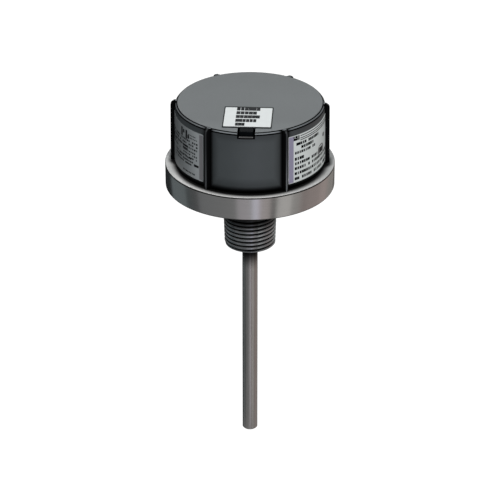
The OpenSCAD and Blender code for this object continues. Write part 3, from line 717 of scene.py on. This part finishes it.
def thread_tree():
    """A taper thread as one helical strip: x runs along the helix and y across one pitch.

    Past both ends the strip is pressed onto the end rings, and merging closes it there.
    """
    make, given = geometry_tree("Taper thread", Int=["Turns", "Segments"], Float=[
        "Pitch", "Bottom", "Top", "Crest Radius", "Taper", "Depth", "Neck Depth", "Crest Share",
        "End Bevel", "Start", "Weld"])
    bottom, top, pitch = given["Bottom"], given["Top"], given["Pitch"]
    strip = make.add("GeometryNodeMeshGrid", {
        "Size X": 1.0, "Size Y": 1.0, "Vertices Y": PITCH_COLUMNS,
        "Vertices X": given["Turns"] * given["Segments"] + 1.0})
    along, across, _ = make.split(make.add("GeometryNodeInputPosition"))
    turn = (along + 0.5) * given["Turns"] - 1.0
    z = (bottom + (turn + (across + 0.5)) * pitch).at_least(bottom).at_most(top)
    rise = z - bottom
    crest = given["Crest Radius"] + rise * (given["Taper"] * 0.5)
    # A flank runs from the crest's edge nearly to the middle of the root
    flank = abs(across * 2.0).remap(given["Crest Share"], 0.9)
    # The lower end keeps a collar of crest width that slopes in, and a bevel ends it
    end = crest - given["End Bevel"]
    collar = end - (rise - pitch * 0.3).at_least(0.0) * 1.8
    low = (crest - flank * given["Depth"]).at_least(collar).at_most(end + rise)
    radius = low.at_most(crest - given["Neck Depth"] + (top - z))
    around = turn * (2 * math.pi) + given["Start"]
    stored = make.add("GeometryNodeStoreNamedAttribute", {
        "Geometry": strip, "Name": "depth", "Value": (crest - radius) / given["Depth"]},
        data_type="FLOAT", domain="POINT")
    moved = make.add("GeometryNodeSetPosition", {
        "Geometry": stored,
        "Position": make.join(radius * around.cosine(), radius * around.sine(), z)})
    return close_tree(make, given, make.add("GeometryNodeMergeByDistance", {
        "Geometry": moved, "Distance": given["Weld"]}))


def fitting_profile(sizes, top):
    """The turned outline from the neck above the thread, over the flange, to the bore's end."""
    neck = sizes.crest_radius + (top - FITTING_END) * sizes.taper / 2 - sizes.neck_depth
    half = sizes.hexagon_flats / 2
    corner = half / math.cos(math.pi / 6)
    # The hexagon's lower corners are chamfered from a circle a little inside the flats
    flat = half * 0.97
    slope = math.tan(math.pi / 6)

    def hexagon(limit):
        return lambda turn: min(half / math.cos(turn % (math.pi / 3) - math.pi / 6), limit)

    foot = -sizes.hexagon_height
    profile = [(neck, top), (neck, foot - 0.1 * MM), (neck + 0.1 * MM, foot), (flat, foot)]
    for i in range(1, 7):
        rise = (corner - flat) * slope * i / 6
        profile.append((hexagon(flat + rise / slope), foot + rise))
    profile.append((hexagon(half * 2), -0.15 * MM))
    edge, chamfer, upper = sizes.flange_radius, sizes.flange_chamfer, sizes.flange_top
    ring, ring_top, bevel = sizes.ring_radius, sizes.ring_top, sizes.ring_bevel
    groove, groove_foot = sizes.groove_radius, upper + sizes.groove_rise
    groove_top = groove_foot + sizes.groove_width
    well, bore = ring - sizes.ring_wall, sizes.bore_radius
    return profile + soften([
        (corner + 0.3 * MM, 0), (edge - chamfer, 0), (edge, chamfer), (edge, upper - chamfer),
        (edge - chamfer, upper), (ring, upper), (ring, groove_foot), (groove, groove_foot),
        (groove, groove_top), (ring, groove_top), (ring, ring_top - bevel),
        (ring - bevel, ring_top), (well, ring_top), (well, sizes.well_floor),
        (sizes.boss_radius, sizes.well_floor), (sizes.boss_radius, sizes.gland_top),
        (sizes.gland_radius, sizes.gland_top), (sizes.gland_radius, sizes.seat),
        (bore, sizes.seat), (bore, FITTING_END + 0.2 * MM), (bore + 0.2 * MM, FITTING_END),
        (sizes.crest_radius - sizes.end_bevel, FITTING_END)], TURNED_EDGE)


class MakeFitting(bpy.types.Operator):
    """Turn the stainless fitting: flange, ring, boss, hexagon and taper thread"""

    bl_idname = "transmitter.make_fitting"
    bl_label = "Make fitting"

    def execute(self, context):
        sizes = context.scene.transmitter_fitting
        cover = context.scene.transmitter_cover
        steel = fitting_steel(sizes, cover.foot_radius)
        top = -sizes.hexagon_height - sizes.neck_height
        # The thread's steps fall on the turned outline's, so that merging closes them
        sector = 2 * math.pi / SEGMENTS
        bm = bmesh.new()
        bm.from_mesh(run_tree(thread_tree(), {
            "Turns": math.ceil((top - FITTING_END) / sizes.pitch) + 2, "Segments": SEGMENTS,
            "Pitch": sizes.pitch, "Bottom": FITTING_END, "Top": top, "Taper": sizes.taper,
            "Crest Radius": sizes.crest_radius, "Crest Share": sizes.crest_share,
            "Depth": sizes.thread_depth, "Neck Depth": sizes.neck_depth,
            "End Bevel": sizes.end_bevel, "Weld": WELD, "Material": steel,
            "Start": round(sizes.thread_start / sector) * sector}))
        lathe(bm, fitting_profile(sizes, top))
        mesh = weld(to_mesh(bm, "turned fitting"))
        # A slot in the ring for the cover's key, and holes in the well for the standoffs
        gap = 0.3 * MM
        past = 2 * MM
        side = cover.key_width / 2 + gap
        slot = box_mesh("slot", (-side, sizes.ring_radius - cover.key_reach - gap,
                                 sizes.ring_top - cover.key_length / 2),
                        (side, sizes.ring_radius + past, sizes.ring_top + past))
        holes = bmesh.new()
        # Four holes, at 45, 135, 225 and 315 degrees
        for x, y in arc(0, 0, sizes.screw_circle, 45, 315, 3):
            bmesh.ops.create_cone(holes, cap_ends=True, segments=32, radius1=sizes.hole_radius,
                                  radius2=sizes.hole_radius, depth=8 * MM,
                                  matrix=Matrix.Translation((x, y, sizes.well_floor)))
        mesh = combine(mesh, "DIFFERENCE", slot, to_mesh(holes, "holes"))
        make_piece("turned_fitting", shade(mesh), [steel], FIXED_BODY,
                   "process_fitting")
        return {"FINISHED"}


class MakeRod(bpy.types.Operator):
    """Make the probe rod from bar stock, with its shoulder and stud"""

    bl_idname = "transmitter.make_rod"
    bl_label = "Make probe rod"

    def execute(self, context):
        steel = drawn_steel("drawn stainless", (0.45, 0.435, 0.42), 0.27)
        low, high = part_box("probe_rod")
        shoulder = LOW["probe_insulator"].z
        stud = 2.5 * MM
        chamfer = 0.5 * MM
        outline = [(0, low.z), (high.x - chamfer, low.z), (high.x, low.z + chamfer),
                   (high.x, shoulder - chamfer), (high.x - chamfer, shoulder), (stud, shoulder),
                   (stud, high.z - chamfer), (stud - chamfer, high.z), (0, high.z)]
        bm = bmesh.new()
        lathe(bm, soften(outline, TURNED_EDGE), SEGMENTS // 2)
        make_piece("rod", shade(to_mesh(bm, "rod")), [steel], FIXED_BODY,
                   "probe_rod")
        return {"FINISHED"}


# Cover

def cover_sector(sizes):
    """One sector of the cover, with a rib along its middle: outside, foot and inside."""
    foot, top, corner = COVER_FOOT, COVER_TOP, sizes.rib_corner
    # A rib stands out at least this far, so that every level has the same columns
    least = 0.02 * MM

    def wall(z):
        return sizes.foot_radius - sizes.draft * (z - foot) / (top - foot)

    def rib_reach(z):
        return round_off(wall(z) + sizes.rib_proud, corner, z - (top - corner))

    def level(radius, reach, z):
        """Plan of the sector at one level: half of it from the rib's middle, and its mirror."""
        proud = max(reach - radius, least)
        edge = min(sizes.rib_edge, proud * 0.6)
        side = sizes.rib_face / 2 - edge
        fillet = min(0.25 * MM, proud * 0.35)
        rib_foot = sizes.rib_width / 2
        half = [(reach, 0.0), (reach, side * 0.5), *arc(reach - edge, side, edge, 0, 90, 4),
                (radius + fillet, rib_foot - least),
                (radius + fillet * 0.3, rib_foot + fillet * 0.3)]
        half += arc(0, 0, radius, math.degrees(math.asin((rib_foot + fillet) / radius)),
                    180 / sizes.rib_count, 12)
        return [Vector((x, y, z)) for x, y in [(x, -y) for x, y in reversed(half[1:])] + half]

    def plain_level(radius, z):
        """A level with no rib, at the same angles as the columns of the foot."""
        if not radius:
            return [Vector((0, 0, z))]
        turns = [math.atan2(p.y, p.x) for p in level(wall(foot), rib_reach(foot), foot)]
        return [Vector((radius * math.cos(t), radius * math.sin(t), z)) for t in turns]

    flat = wall(top) - sizes.rim_run
    chamfer = 0.2 * MM
    rim = [(wall(foot) - chamfer, foot), (wall(foot), foot + chamfer)]
    heights = [foot + (top - foot) * i / 8 for i in range(1, 7)] + [top - corner]
    rim += [(wall(z), z) for z in heights]
    rim_foot = top - sizes.rim_drop
    rim += soften([rim[-1], (wall(rim_foot), rim_foot), (flat, top), (flat - 2 * MM, top)],
                  0.16 * MM)[1:-1]
    # The rib's top keeps its rounded corner while the rim beside it slopes in
    levels = [level(radius, max(rib_reach(z), radius + least), z) for radius, z in rim]
    levels.append(plain_level(flat - 1 * MM, top))
    bore = sizes.foot_radius - sizes.wall
    inner = bore - sizes.step
    ceiling = top - sizes.top_thickness
    fillet = sizes.inner_fillet
    inside = [(0, ceiling), *arc(inner - sizes.draft - fillet, ceiling - fillet, fillet, 90, 0),
              (inner, sizes.step_height + sizes.step), (bore, sizes.step_height),
              (bore, foot + sizes.mouth_chamfer), (bore + sizes.mouth_chamfer, foot)]
    bm = bmesh.new()
    # The 'rib' attribute holds RIB_SHADE, the painted shade on the ribs and the wall beside them,
    # below the top
    layer = bm.verts.layers.float.new("rib")
    middle = len(levels[0]) // 2
    rings = [[bm.verts.new(p) for p in plain_level(radius, z)] for radius, z in inside]
    for ring in levels:
        made = [bm.verts.new(p) for p in ring]
        for i, vert in enumerate(made):
            side = abs(i - middle)
            if side < len(RIB_SHADE) and vert.co.z < top - 0.01 * MM:
                vert[layer] = RIB_SHADE[side]
        rings.append(made)
    rings.append([bm.verts.new((0, 0, top))])
    bridge(bm, rings, wrap=False)
    return to_mesh(bm, "cover sector")


def round_array_tree():
    """Copies of a mesh around Z, merged where they meet."""
    make, given = geometry_tree("Round array", True, Int=["Count"], Float=["Start", "Weld"])
    points = make.add("GeometryNodeMeshLine", {"Count": given["Count"], "Offset": (0, 0, 0)})
    turn = make.add("GeometryNodeInputIndex") * (2 * math.pi) / given["Count"]
    copies = make.add("GeometryNodeInstanceOnPoints", {
        "Points": points, "Instance": given["Geometry"],
        "Rotation": make.join(0.0, 0.0, given["Start"] + turn)})
    real = make.add("GeometryNodeRealizeInstances", {"Geometry": copies})
    return close_tree(make, given, make.add("GeometryNodeMergeByDistance", {
        "Geometry": real, "Distance": given["Weld"]}))


class MakeCover(bpy.types.Operator):
    """Mould the cover: drafted wall, ribs, bevelled rim, key and the magnet's notch"""

    bl_idname = "transmitter.make_cover"
    bl_label = "Make cover"

    def execute(self, context):
        sizes = context.scene.transmitter_cover
        fitting = context.scene.transmitter_fitting
        plastic = cover_plastic(sizes)
        shell = weld(run_tree(round_array_tree(), {
            "Count": sizes.rib_count, "Start": FRONT + math.pi / sizes.rib_count,
            "Weld": WELD, "Material": plastic}, cover_sector(sizes)))
        low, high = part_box("magnet")
        half = high.x + sizes.notch_gap
        back = high.y + sizes.notch_gap
        floor = sizes.notch_floor
        bore = sizes.foot_radius - sizes.wall
        pad = box_mesh("pad", (-half - floor, -bore, low.z - floor),
                       (half + floor, back + floor, COVER_TOP - sizes.rim_drop - 0.4 * MM))
        key_middle = fitting.ring_top + 0.3 * MM
        key = box_mesh("key", (-sizes.key_width / 2, fitting.ring_radius - sizes.key_reach,
                               key_middle - sizes.key_length / 2),
                       (sizes.key_width / 2, bore + 1 * MM, key_middle + sizes.key_length / 2))
        # This block reaches past the ribs and the top
        notch = box_mesh("notch", (-half, -sizes.foot_radius - 3 * MM, low.z),
                         (half, back, COVER_TOP + 1 * MM))
        solid = combine(combine(shell, "UNION", pad, key), "DIFFERENCE", notch)
        make_piece("moulded_cover", shade(solid, 28), [plastic], COVER_BODY,
                   "cover")
        return {"FINISHED"}


class MakeMagnet(bpy.types.Operator):
    """Make the coated block magnet that rests in the cover's notch"""

    bl_idname = "transmitter.make_magnet"
    bl_label = "Make magnet"

    def execute(self, context):
        coat = moulded_plastic("magnet coat", (0.0015, 0.002, 0.0025), 0.6, 3000.0, 0.008, 0.04)
        holder = new_object("magnet work", box_mesh("magnet", *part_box("magnet")))
        bevel = holder.modifiers.new("edges", "BEVEL")
        bevel.width = 0.25 * MM
        bevel.segments = 3
        make_piece("magnet_block", shade(plain_mesh(holder), 50), [coat], COVER_BODY,
                   "magnet")
        return {"FINISHED"}


# Labels

# Rows of plain bars: left end and middle height, width and height of the rows, columns, rows,
# width and height of a bar, share of bars kept and seed. Lengths in mm from the label's middle
LEFT_PRINT = (
    (5.4, 7.1, 4.6, 1.2, 6, 2, 0.6, 0.45, 0.9, 3),
    (-11.4, 3.5, 21.5, 2.8, 20, 3, 0.85, 0.75, 0.8, 21),
    (1.4, 1.5, 2.6, 1.2, 3, 2, 1.0, 0.9, 0.9, 4),
    (1.7, -0.8, 8.2, 2.6, 9, 3, 0.8, 0.65, 0.8, 13),
    (-11.4, 0.4, 9.6, 1.4, 9, 2, 0.85, 0.75, 0.7, 17),
    (-6, -3.7, 13.5, 2.6, 14, 3, 0.85, 0.7, 0.8, 19),
    (1.7, -8.6, 7.8, 0, 9, 1, 0.7, 0.7, 0.9, 5))
RIGHT_PRINT = (
    (-11.7, 8.9, 2.4, 1.0, 3, 2, 1.1, 0.95, 1.0, 2),
    (-10.0, 6.2, 13.0, 0, 13, 1, 1.0, 1.2, 0.95, 31),
    (-7.4, 4.4, 6.4, 0, 6, 1, 1.05, 1.2, 1.0, 33),
    (-10.8, 2.5, 11, 0, 11, 1, 0.95, 1.1, 0.85, 12),
    (-10.8, -0.1, 3.6, 0, 4, 1, 1.0, 1.3, 1.0, 6),
    (-10.8, -2.1, 13, 0, 12, 1, 0.95, 1.2, 0.9, 9),
    (-10.8, -6.4, 23, 4.4, 20, 3, 0.95, 1.2, 0.85, 46))
# Rows of the top label, from the top down: number of blocks, and width in mm
TOP_PRINT = ((6, 9.4), (5, 8.2), (6, 9.4), (6, 8.3), (3, 3.8))


def bar_rows_tree():
    """Rows of plain bars with random lengths and gaps, flat in XY and centred on the origin."""
    name = "Bar rows"
    # All the rows of print share one tree
    if name in bpy.data.node_groups:
        return bpy.data.node_groups[name]
    make, given = geometry_tree(name, Int=["Columns", "Rows", "Seed"], Float=[
        "Width", "Height", "Bar Width", "Bar Height", "Bar Rise", "Shortest", "Longest", "Fill"])
    grid = make.add("GeometryNodeMeshGrid", {
        "Size X": given["Width"], "Size Y": given["Height"],
        "Vertices X": given["Columns"], "Vertices Y": given["Rows"]})
    kept = make.add("FunctionNodeRandomValue", {
        "Probability": given["Fill"], "Seed": given["Seed"]}, 3, data_type="BOOLEAN")
    stretch = make.add("FunctionNodeRandomValue", {
        2: given["Shortest"], 3: given["Longest"], "Seed": given["Seed"] + 7.0}, 1,
        data_type="FLOAT")
    bar = make.add("GeometryNodeMeshCube", {
        "Size": make.join(given["Bar Width"], given["Bar Height"], given["Bar Rise"])})
    return close_tree(make, given, make.add("GeometryNodeInstanceOnPoints", {
        "Points": make.add("GeometryNodeMeshToPoints", {"Mesh": grid}), "Selection": kept,
        "Instance": bar, "Scale": make.join(stretch, 1.0, 1.0)}))


def sheet_mesh(width, height, corner, rise, columns):
    """A flat sheet in XY with rounded corners and a thickness, cut into columns for bending."""
    bm = bmesh.new()
    end = [-width / 2 + corner * (1 - math.cos(math.pi / 2 * i / 4)) for i in range(5)]
    inner = [-width / 2 + corner + (width - 2 * corner) * i / columns for i in range(1, columns)]
    rings = []
    for x in end + inner + [-x for x in reversed(end)]:
        h = round_off(height / 2, corner, abs(x) - (width / 2 - corner))
        rings.append([bm.verts.new(p) for p in (
            (x, -h, 0), (x, h, 0), (x, h, rise), (x, -h, rise))])
    bridge(bm, rings)
    bm.faces.new(reversed(rings[0]))
    bm.faces.new(rings[-1])
    bmesh.ops.recalc_face_normals(bm, faces=bm.faces)
    return to_mesh(bm, "sheet")


class LabelMaker:
    """Collects the sheets and bars of one label, then lays them on the cover."""

    def __init__(self, name, lay, sizes, ink):
        self.name = name
        self.lay = lay
        self.sizes = sizes
        self.ink = ink
        self.bm = bmesh.new()
        self.materials = []

    def take(self, mesh, material, x, y, lift):
        if material not in self.materials:
            self.materials.append(material)
        index = self.materials.index(material)
        before = len(self.bm.faces)
        mesh.transform(Matrix.Translation((x, y, lift)))
        self.bm.from_mesh(mesh)
        self.bm.faces.ensure_lookup_table()
        for face in self.bm.faces[before:]:
            face.material_index = index

    def mark(self, x, y, width, height, corner=0.05, layer=0, material=None, columns=8):
        """A plain shape of print, in mm, of ink if no material is given."""
        rise = self.sizes.ink
        self.take(sheet_mesh(width * MM, height * MM, corner * MM, rise, columns),
                  material or self.ink, x * MM, y * MM, self.sizes.film + layer * rise)

    def bars(self, x, y, width, height, columns, rows, bar_width, bar_height, fill, seed,
             shortest=0.55, longest=1.25):
        """Rows of bars, in mm, whose left end is at x and whose middle is at y."""
        rise = self.sizes.ink
        mesh = run_tree(bar_rows_tree(), {
            "Columns": columns, "Rows": rows, "Width": width * MM, "Height": height * MM,
            "Bar Width": bar_width * MM, "Bar Height": bar_height * MM, "Bar Rise": rise,
            "Shortest": shortest, "Longest": longest, "Fill": fill, "Seed": seed,
            "Material": self.ink})
        self.take(mesh, self.ink, (x + width / 2) * MM, y * MM, self.sizes.film + rise / 2)

    def finish(self, piece, slot, node):
        for vert in self.bm.verts:
            vert.co = self.lay(vert.co)
        make_piece(piece, shade(to_mesh(self.bm, self.name)), self.materials, COVER_BODY,
                   node)


class MakeLabels(bpy.types.Operator):
    """Lay the three labels on the cover, with plain bars where there is print"""

    bl_idname = "transmitter.make_labels"
    bl_label = "Make labels"

    def execute(self, context):
        sizes = context.scene.transmitter_labels
        cover = context.scene.transmitter_cover
        ink = film("ink", (0.004, 0.004, 0.005), 0.5, 0.05)
        self.top_label(sizes, ink)
        # Painted shade and painted reflection: the left label's film is darker than the right's,
        # and painted brighter towards its right end
        grey = film("grey film", sizes.grey, 0.4, 0.5, (-27 * MM, -18.5 * MM, 1.0, 1.7))
        self.left_print(self.side_label(sizes, cover, -1, grey, ink, -sizes.trim))
        silver = film("silver film", sizes.silver, 0.4)
        self.right_print(self.side_label(sizes, cover, 1, silver, ink, sizes.spare), silver)
        return {"FINISHED"}

    def top_label(self, sizes, ink):
        low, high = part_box("instruction_label")
        side = high.x - low.x
        middle = Vector(((low.x + high.x) / 2, (low.y + high.y) / 2, low.z))
        label = LabelMaker("top label", lambda p: p + middle, sizes, ink)
        line = film("border ink", (0.005, 0.0055, 0.006), 0.5, 0.05)
        paper = film("white film", sizes.white, 0.55)
        corner, half = sizes.corner, sizes.film * 0.5
        label.take(sheet_mesh(side, side, corner, sizes.film * 0.8, 2), line, 0, 0, 0)
        label.take(sheet_mesh(side - 2 * sizes.border, side - 4 * sizes.border, corner, half, 2),
                   paper, 0, 0, half)
        # In mm: the rows' left end, the first row's middle, the pitch and the blocks' height
        left, first, pitch, tall = -4.8, 7.455, 3.55, 2.8
        for i, (count, width) in enumerate(TOP_PRINT):
            block = width / count
            label.bars(left + block / 2, first - i * pitch, width - block, 0, count, 1,
                       block * 1.08, tall, 1.0, 11 + i, 0.75, 1.0)
        label.finish("top_label", "white_label", "instruction_label")

    def side_label(self, sizes, cover, side, paper, ink, more):
        """The bare film on the wall left (-1) or right (1) of the front, with added width."""
        node = "rating_label_left" if side < 0 else "rating_label_right"
        low, high = LOW[node].z, HIGH[node].z
        middle_turn = FRONT + side * 2 * math.pi / cover.rib_count
        mean = cover.foot_radius - cover.draft / 2

        def lay(p):
            z = (low + high) / 2 + p.y
            draft = cover.draft * (z - COVER_FOOT) / (COVER_TOP - COVER_FOOT)
            radius = cover.foot_radius - draft + p.z
            turn = middle_turn + p.x / mean
            return Vector((radius * math.cos(turn), radius * math.sin(turn), z))

        label = LabelMaker("side label", lay, sizes, ink)
        label.take(sheet_mesh(sizes.arc * mean + more, high - low, sizes.corner, sizes.film, 40),
                   paper, -side * more / 2, 0, 0)
        # Half the label's width and its whole height, in mm
        label.half = sizes.arc * mean / 2 / MM
        label.height = (high - low) / MM
        return label

    def left_print(self, label):
        sizes = label.sizes
        strip = sizes.strip_left / MM
        label.mark(label.half - sizes.trim / MM - 0.2 - strip / 2, 0, strip, label.height - 0.8,
                   0.1, 0, film("pale strip", sizes.pale, 0.35), 4)
        for x, y, height in ((0.1, 7.4, 3.7), (1.6, 7.9, 1.5), (3.6, 7.2, 3.7), (5.0, 6.6, 1.5)):
            label.mark(x, y, 1.1, height)
        label.mark(9.8, -4.5, 2.6, 1.0)
        for row in LEFT_PRINT:
            label.bars(*row)
        label.finish("left_label", "silver_label", "rating_label_left")

    def right_print(self, label, silver):
        sizes = label.sizes
        strip = sizes.strip_right / MM
        label.mark(strip / 2 + 0.1 - label.half - sizes.spare / MM, 0, strip, label.height - 0.4,
                   0.1, 0, film("violet strip", sizes.violet, 0.4), 4)
        for y in (9.4, 8.4, 7.6):
            label.mark(2.5, y, 22, 0.35, columns=30)
        for row in RIGHT_PRINT:
            label.bars(*row)
        # A dull disc with a block and two bars on it, and a dot
        disc = film("grey ink", (0.06, 0.06, 0.06), 0.5, 0.2)
        label.mark(5.9, -1.9, 5.6, 4.6, 2.1, material=disc)
        label.mark(5.9, -1.9, 2.2, 2.0, layer=1)
        for y in (-0.4, -3.4):
            label.mark(5.9, y, 3.2, 0.5, layer=1, material=silver)
        label.mark(9.0, 3.3, 1.8, 1.8, 0.8)
        label.finish("right_label", "silver_label", "rating_label_right")


# What the cover hides

# How it is made, name of the finish, colour, roughness and more, and the nodes that have it
INSIDE = (
    (satin_metal, ("small stainless", (0.62, 0.61, 0.6), 0.28),
     "gland_nut clamp_washer spring_washer probe_nut board_screws"),
    (moulded_plastic, ("seal rubber", (0.02, 0.02, 0.021), 0.6, 2500.0, 0.006),
     "insulator_seal rod_seal cover_seal"),
    (moulded_plastic, ("white insulator", (0.82, 0.82, 0.8), 0.45, 1800.0, 0.004),
     "probe_insulator"),
    (satin_metal, ("gold plate", (0.86, 0.62, 0.25), 0.22), "probe_contact antenna"),
    (satin_metal, ("brass", (0.74, 0.55, 0.26), 0.3), "board_standoffs"),
    (solder_mask, ("solder mask", (0.012, 0.13, 0.045)), "circuit_board reed_board"),
    (moulded_plastic, ("black nylon", (0.02, 0.02, 0.022), 0.5), "battery_tray microcontroller"),
    (moulded_plastic, ("ivory nylon", (0.74, 0.69, 0.55), 0.45), "service_plug"),
    (satin_metal, ("nickel sheet", (0.66, 0.64, 0.6), 0.25),
     "battery_terminals radio_module crystal"),
    (moulded_plastic, ("cell sleeve", (0.05, 0.22, 0.13), 0.25, 600.0, 0.003), "battery_cell"),
    (satin_metal, ("sleeved can", (0.07, 0.075, 0.1), 0.3, 0.4), "storage_capacitor"),
    (moulded_plastic, ("reed glass", (0.45, 0.62, 0.5), 0.08, 400.0, 0.001), "reed_switch"))


class FinishInside(bpy.types.Operator):
    """Give the seals, the small metal parts and everything on the board their finishes"""

    bl_idname = "transmitter.finish_inside"
    bl_label = "Finish the inside"

    def execute(self, context):
        for finish, looks, nodes in INSIDE:
            material = finish(*looks)
            for node in nodes.split():
                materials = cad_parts[node].data.materials
                materials.clear()
                materials.append(material)
        return {"FINISHED"}


# Stage

# Strips of the wall of light: middle, half width and soft edge in degrees from the camera's side,
# positive to the right, and what they add to the light, to its red and to its blue
STRIPS = (
    (4, 18.5, 3, 0.17), (7, 2.5, 3, 0.3), (28.6, 1.5, 2, -0.12), (42, 8, 3, 0.2),
    (50, 12, 8, 0.11), (66, 6, 6, -0.04), (107, 5, 5, 0.05), (132, 4, 5, -0.05),
    (152, 8, 4, -0.22), (-77, 8, 5, -0.1), (-141, 15.5, 6, -0.19))
REDS = ((92, 22, 10, 0.13), (-115, 30, 14, -0.09), (18, 6, 4, 0.08), (-8, 5, 5, 0.05))
BLUES = ((7, 3, 4, 0.14), (-8, 5, 5, 0.05))
# Each lamp: name, place, point that it looks at, size, power and tint
LAMPS = (("overhead", (0.0, 0.1, 1.1), (0, 0, 0), 1.2, 5.0, (1, 1, 1)),
         ("key", (0.35, -1.2, 0.75), (0, 0, 0), 0.7, 20.0, (1, 1, 1)),
         ("back", (0.0, 1.3, 0.75), (0, 0, 0.03), 1.2, 7.5, (0.93, 1.0, 1.02)))


def added(strips, turn):
    """Sum of what a table's strips add at an angle."""
    value = 0
    for middle, half, soft, add in strips:
        share = min(max(1 - (abs(math.degrees(turn) - middle) - half) / soft, 0), 1)
        value += add * share * share * (3 - 2 * share)
    return value


def sky_light(make, studio):
    """The light from all around, which looks white itself."""
    return make.add("ShaderNodeLightPath", output="Is Camera Ray").remap(0, 1, studio.sky, 1.1)


def aim(thing, way):
    """Turns a lamp or a camera to look this way."""
    thing.rotation_euler = way.to_track_quat("-Z", "Y").to_euler()


class MakeStage(bpy.types.Operator):
    """Set up the floor, the soft studio light and the camera"""

    bl_idname = "transmitter.make_stage"
    bl_label = "Make stage"

    def execute(self, context):
        studio = context.scene.transmitter_studio
        context.scene.view_settings.view_transform = "Standard"
        self.floor(studio)
        self.world(context, studio)
        self.wall_of_light(studio)
        self.lights()
        self.camera(context, studio)
        return {"FINISHED"}

    def floor(self, studio):
        bm = bmesh.new()
        place = Matrix.Translation((0, 0, CAD_BOX[0][2] - studio.floor_drop))
        bmesh.ops.create_grid(bm, x_segments=1, y_segments=1, size=6, matrix=place)
        mesh = to_mesh(bm, "floor")
        mesh.materials.append(glowing("pale floor", lambda make: {
            "Strength": sky_light(make, studio)}))
        new_object("floor", mesh)

    def world(self, context, studio):
        world = bpy.data.worlds.new("studio")
        world.use_nodes = True
        background = world.node_tree.nodes["Background"]
        make = TreeMaker(world.node_tree)
        make.give(background.inputs["Color"], (1, 1, 1))
        make.give(background.inputs["Strength"], sky_light(make, studio))
        context.scene.world = world

    def wall_of_light(self, studio):
        """A ring of soft light that only gloss sees: dim on the left, bright on the right."""
        bm = bmesh.new()
        layer = bm.loops.layers.float_color.new("tone")
        radius, bottom, top, columns = 0.16, -0.24, 0.05, 360
        # The light in front, what the right adds to it, the least light, and the right's warmth
        middle, rise, least, warmth = 0.26, 0.09, 0.02, 0.06
        turns = [2 * math.pi * i / columns for i in range(columns)]
        lower, upper = [[bm.verts.new((radius * math.sin(t), -radius * math.cos(t), z))
                         for t in turns] for z in (bottom, top)]
        for i in range(columns):
            j = (i + 1) % columns
            for loop in bm.faces.new((lower[i], upper[i], upper[j], lower[j])).loops:
                turn = math.atan2(loop.vert.co.x, -loop.vert.co.y) - studio.azimuth
                value = max(middle + rise * math.sin(turn / 2) + added(STRIPS, turn), least)
                warm = warmth * math.sin(turn / 2)
                loop[layer] = (value * (1 + warm + added(REDS, turn)), value,
                               value * (1 - warm + added(BLUES, turn)), 1)
        mesh = to_mesh(bm, "light wall")
        mesh.materials.append(glowing("light wall", lambda make: {
            "Color": make.add("ShaderNodeAttribute", attribute_name="tone"), "Strength": 1.0}))
        wall = new_object("light_wall", mesh)
        for kind in ("camera", "diffuse", "shadow", "transmission"):
            setattr(wall, "visible_" + kind, False)

    def lights(self):
        for name, place, target, size, power, tint in LAMPS:
            data = bpy.data.lights.new(name, "AREA")
            data.shape = "SQUARE"
            data.size = size
            data.energy = power
            data.color = tint
            lamp = new_object(name, data)
            lamp.location = place
            aim(lamp, Vector(target) - Vector(place))
            # The key is low, and its gloss would whiten the cover's top from behind
            lamp.visible_glossy = name != "key"

    def camera(self, context, studio):
        data = bpy.data.cameras.new("camera")
        data.sensor_width = 36
        data.lens = studio.lens
        data.clip_start = 0.05
        data.clip_end = 30
        camera = new_object("camera", data)
        level = math.cos(studio.elevation)
        back = Vector((math.sin(studio.azimuth) * level, -math.cos(studio.azimuth) * level,
                       math.sin(studio.elevation)))
        camera.location = Vector((0, 0, studio.target)) + back * studio.distance
        aim(camera, -back)
        context.scene.camera = camera


OPERATORS = (MakeStage, MakeFitting, MakeRod, MakeCover, MakeMagnet, MakeLabels, FinishInside)


class TransmitterPanel(bpy.types.Panel):
    """Buttons that make the transmitter's pieces, and their sizes"""

    bl_idname = "VIEW3D_PT_level_transmitter"
    bl_label = "Level Transmitter"
    bl_space_type = "VIEW_3D"
    bl_region_type = "UI"
    bl_category = "Transmitter"

    def draw(self, context):
        for operator in OPERATORS:
            self.layout.operator(operator.bl_idname)
        for name, group in GROUPS.items():
            box = self.layout.box()
            box.label(text=group.__doc__)
            for title in group.__annotations__:
                box.prop(getattr(context.scene, name), title)


CLASSES = tuple(GROUPS.values()) + OPERATORS + (TransmitterPanel,)


def register():
    for cls in CLASSES:
        bpy.utils.register_class(cls)
    for name, group in GROUPS.items():
        setattr(bpy.types.Scene, name, PointerProperty(type=group))


def unregister():
    for name in GROUPS:
        delattr(bpy.types.Scene, name)
    for cls in reversed(CLASSES):
        bpy.utils.unregister_class(cls)


def main():
    register()
    for operator in OPERATORS:
        group, name = operator.bl_idname.split(".")
        getattr(getattr(bpy.ops, group), name)()


if __name__ == "__main__":
    main()
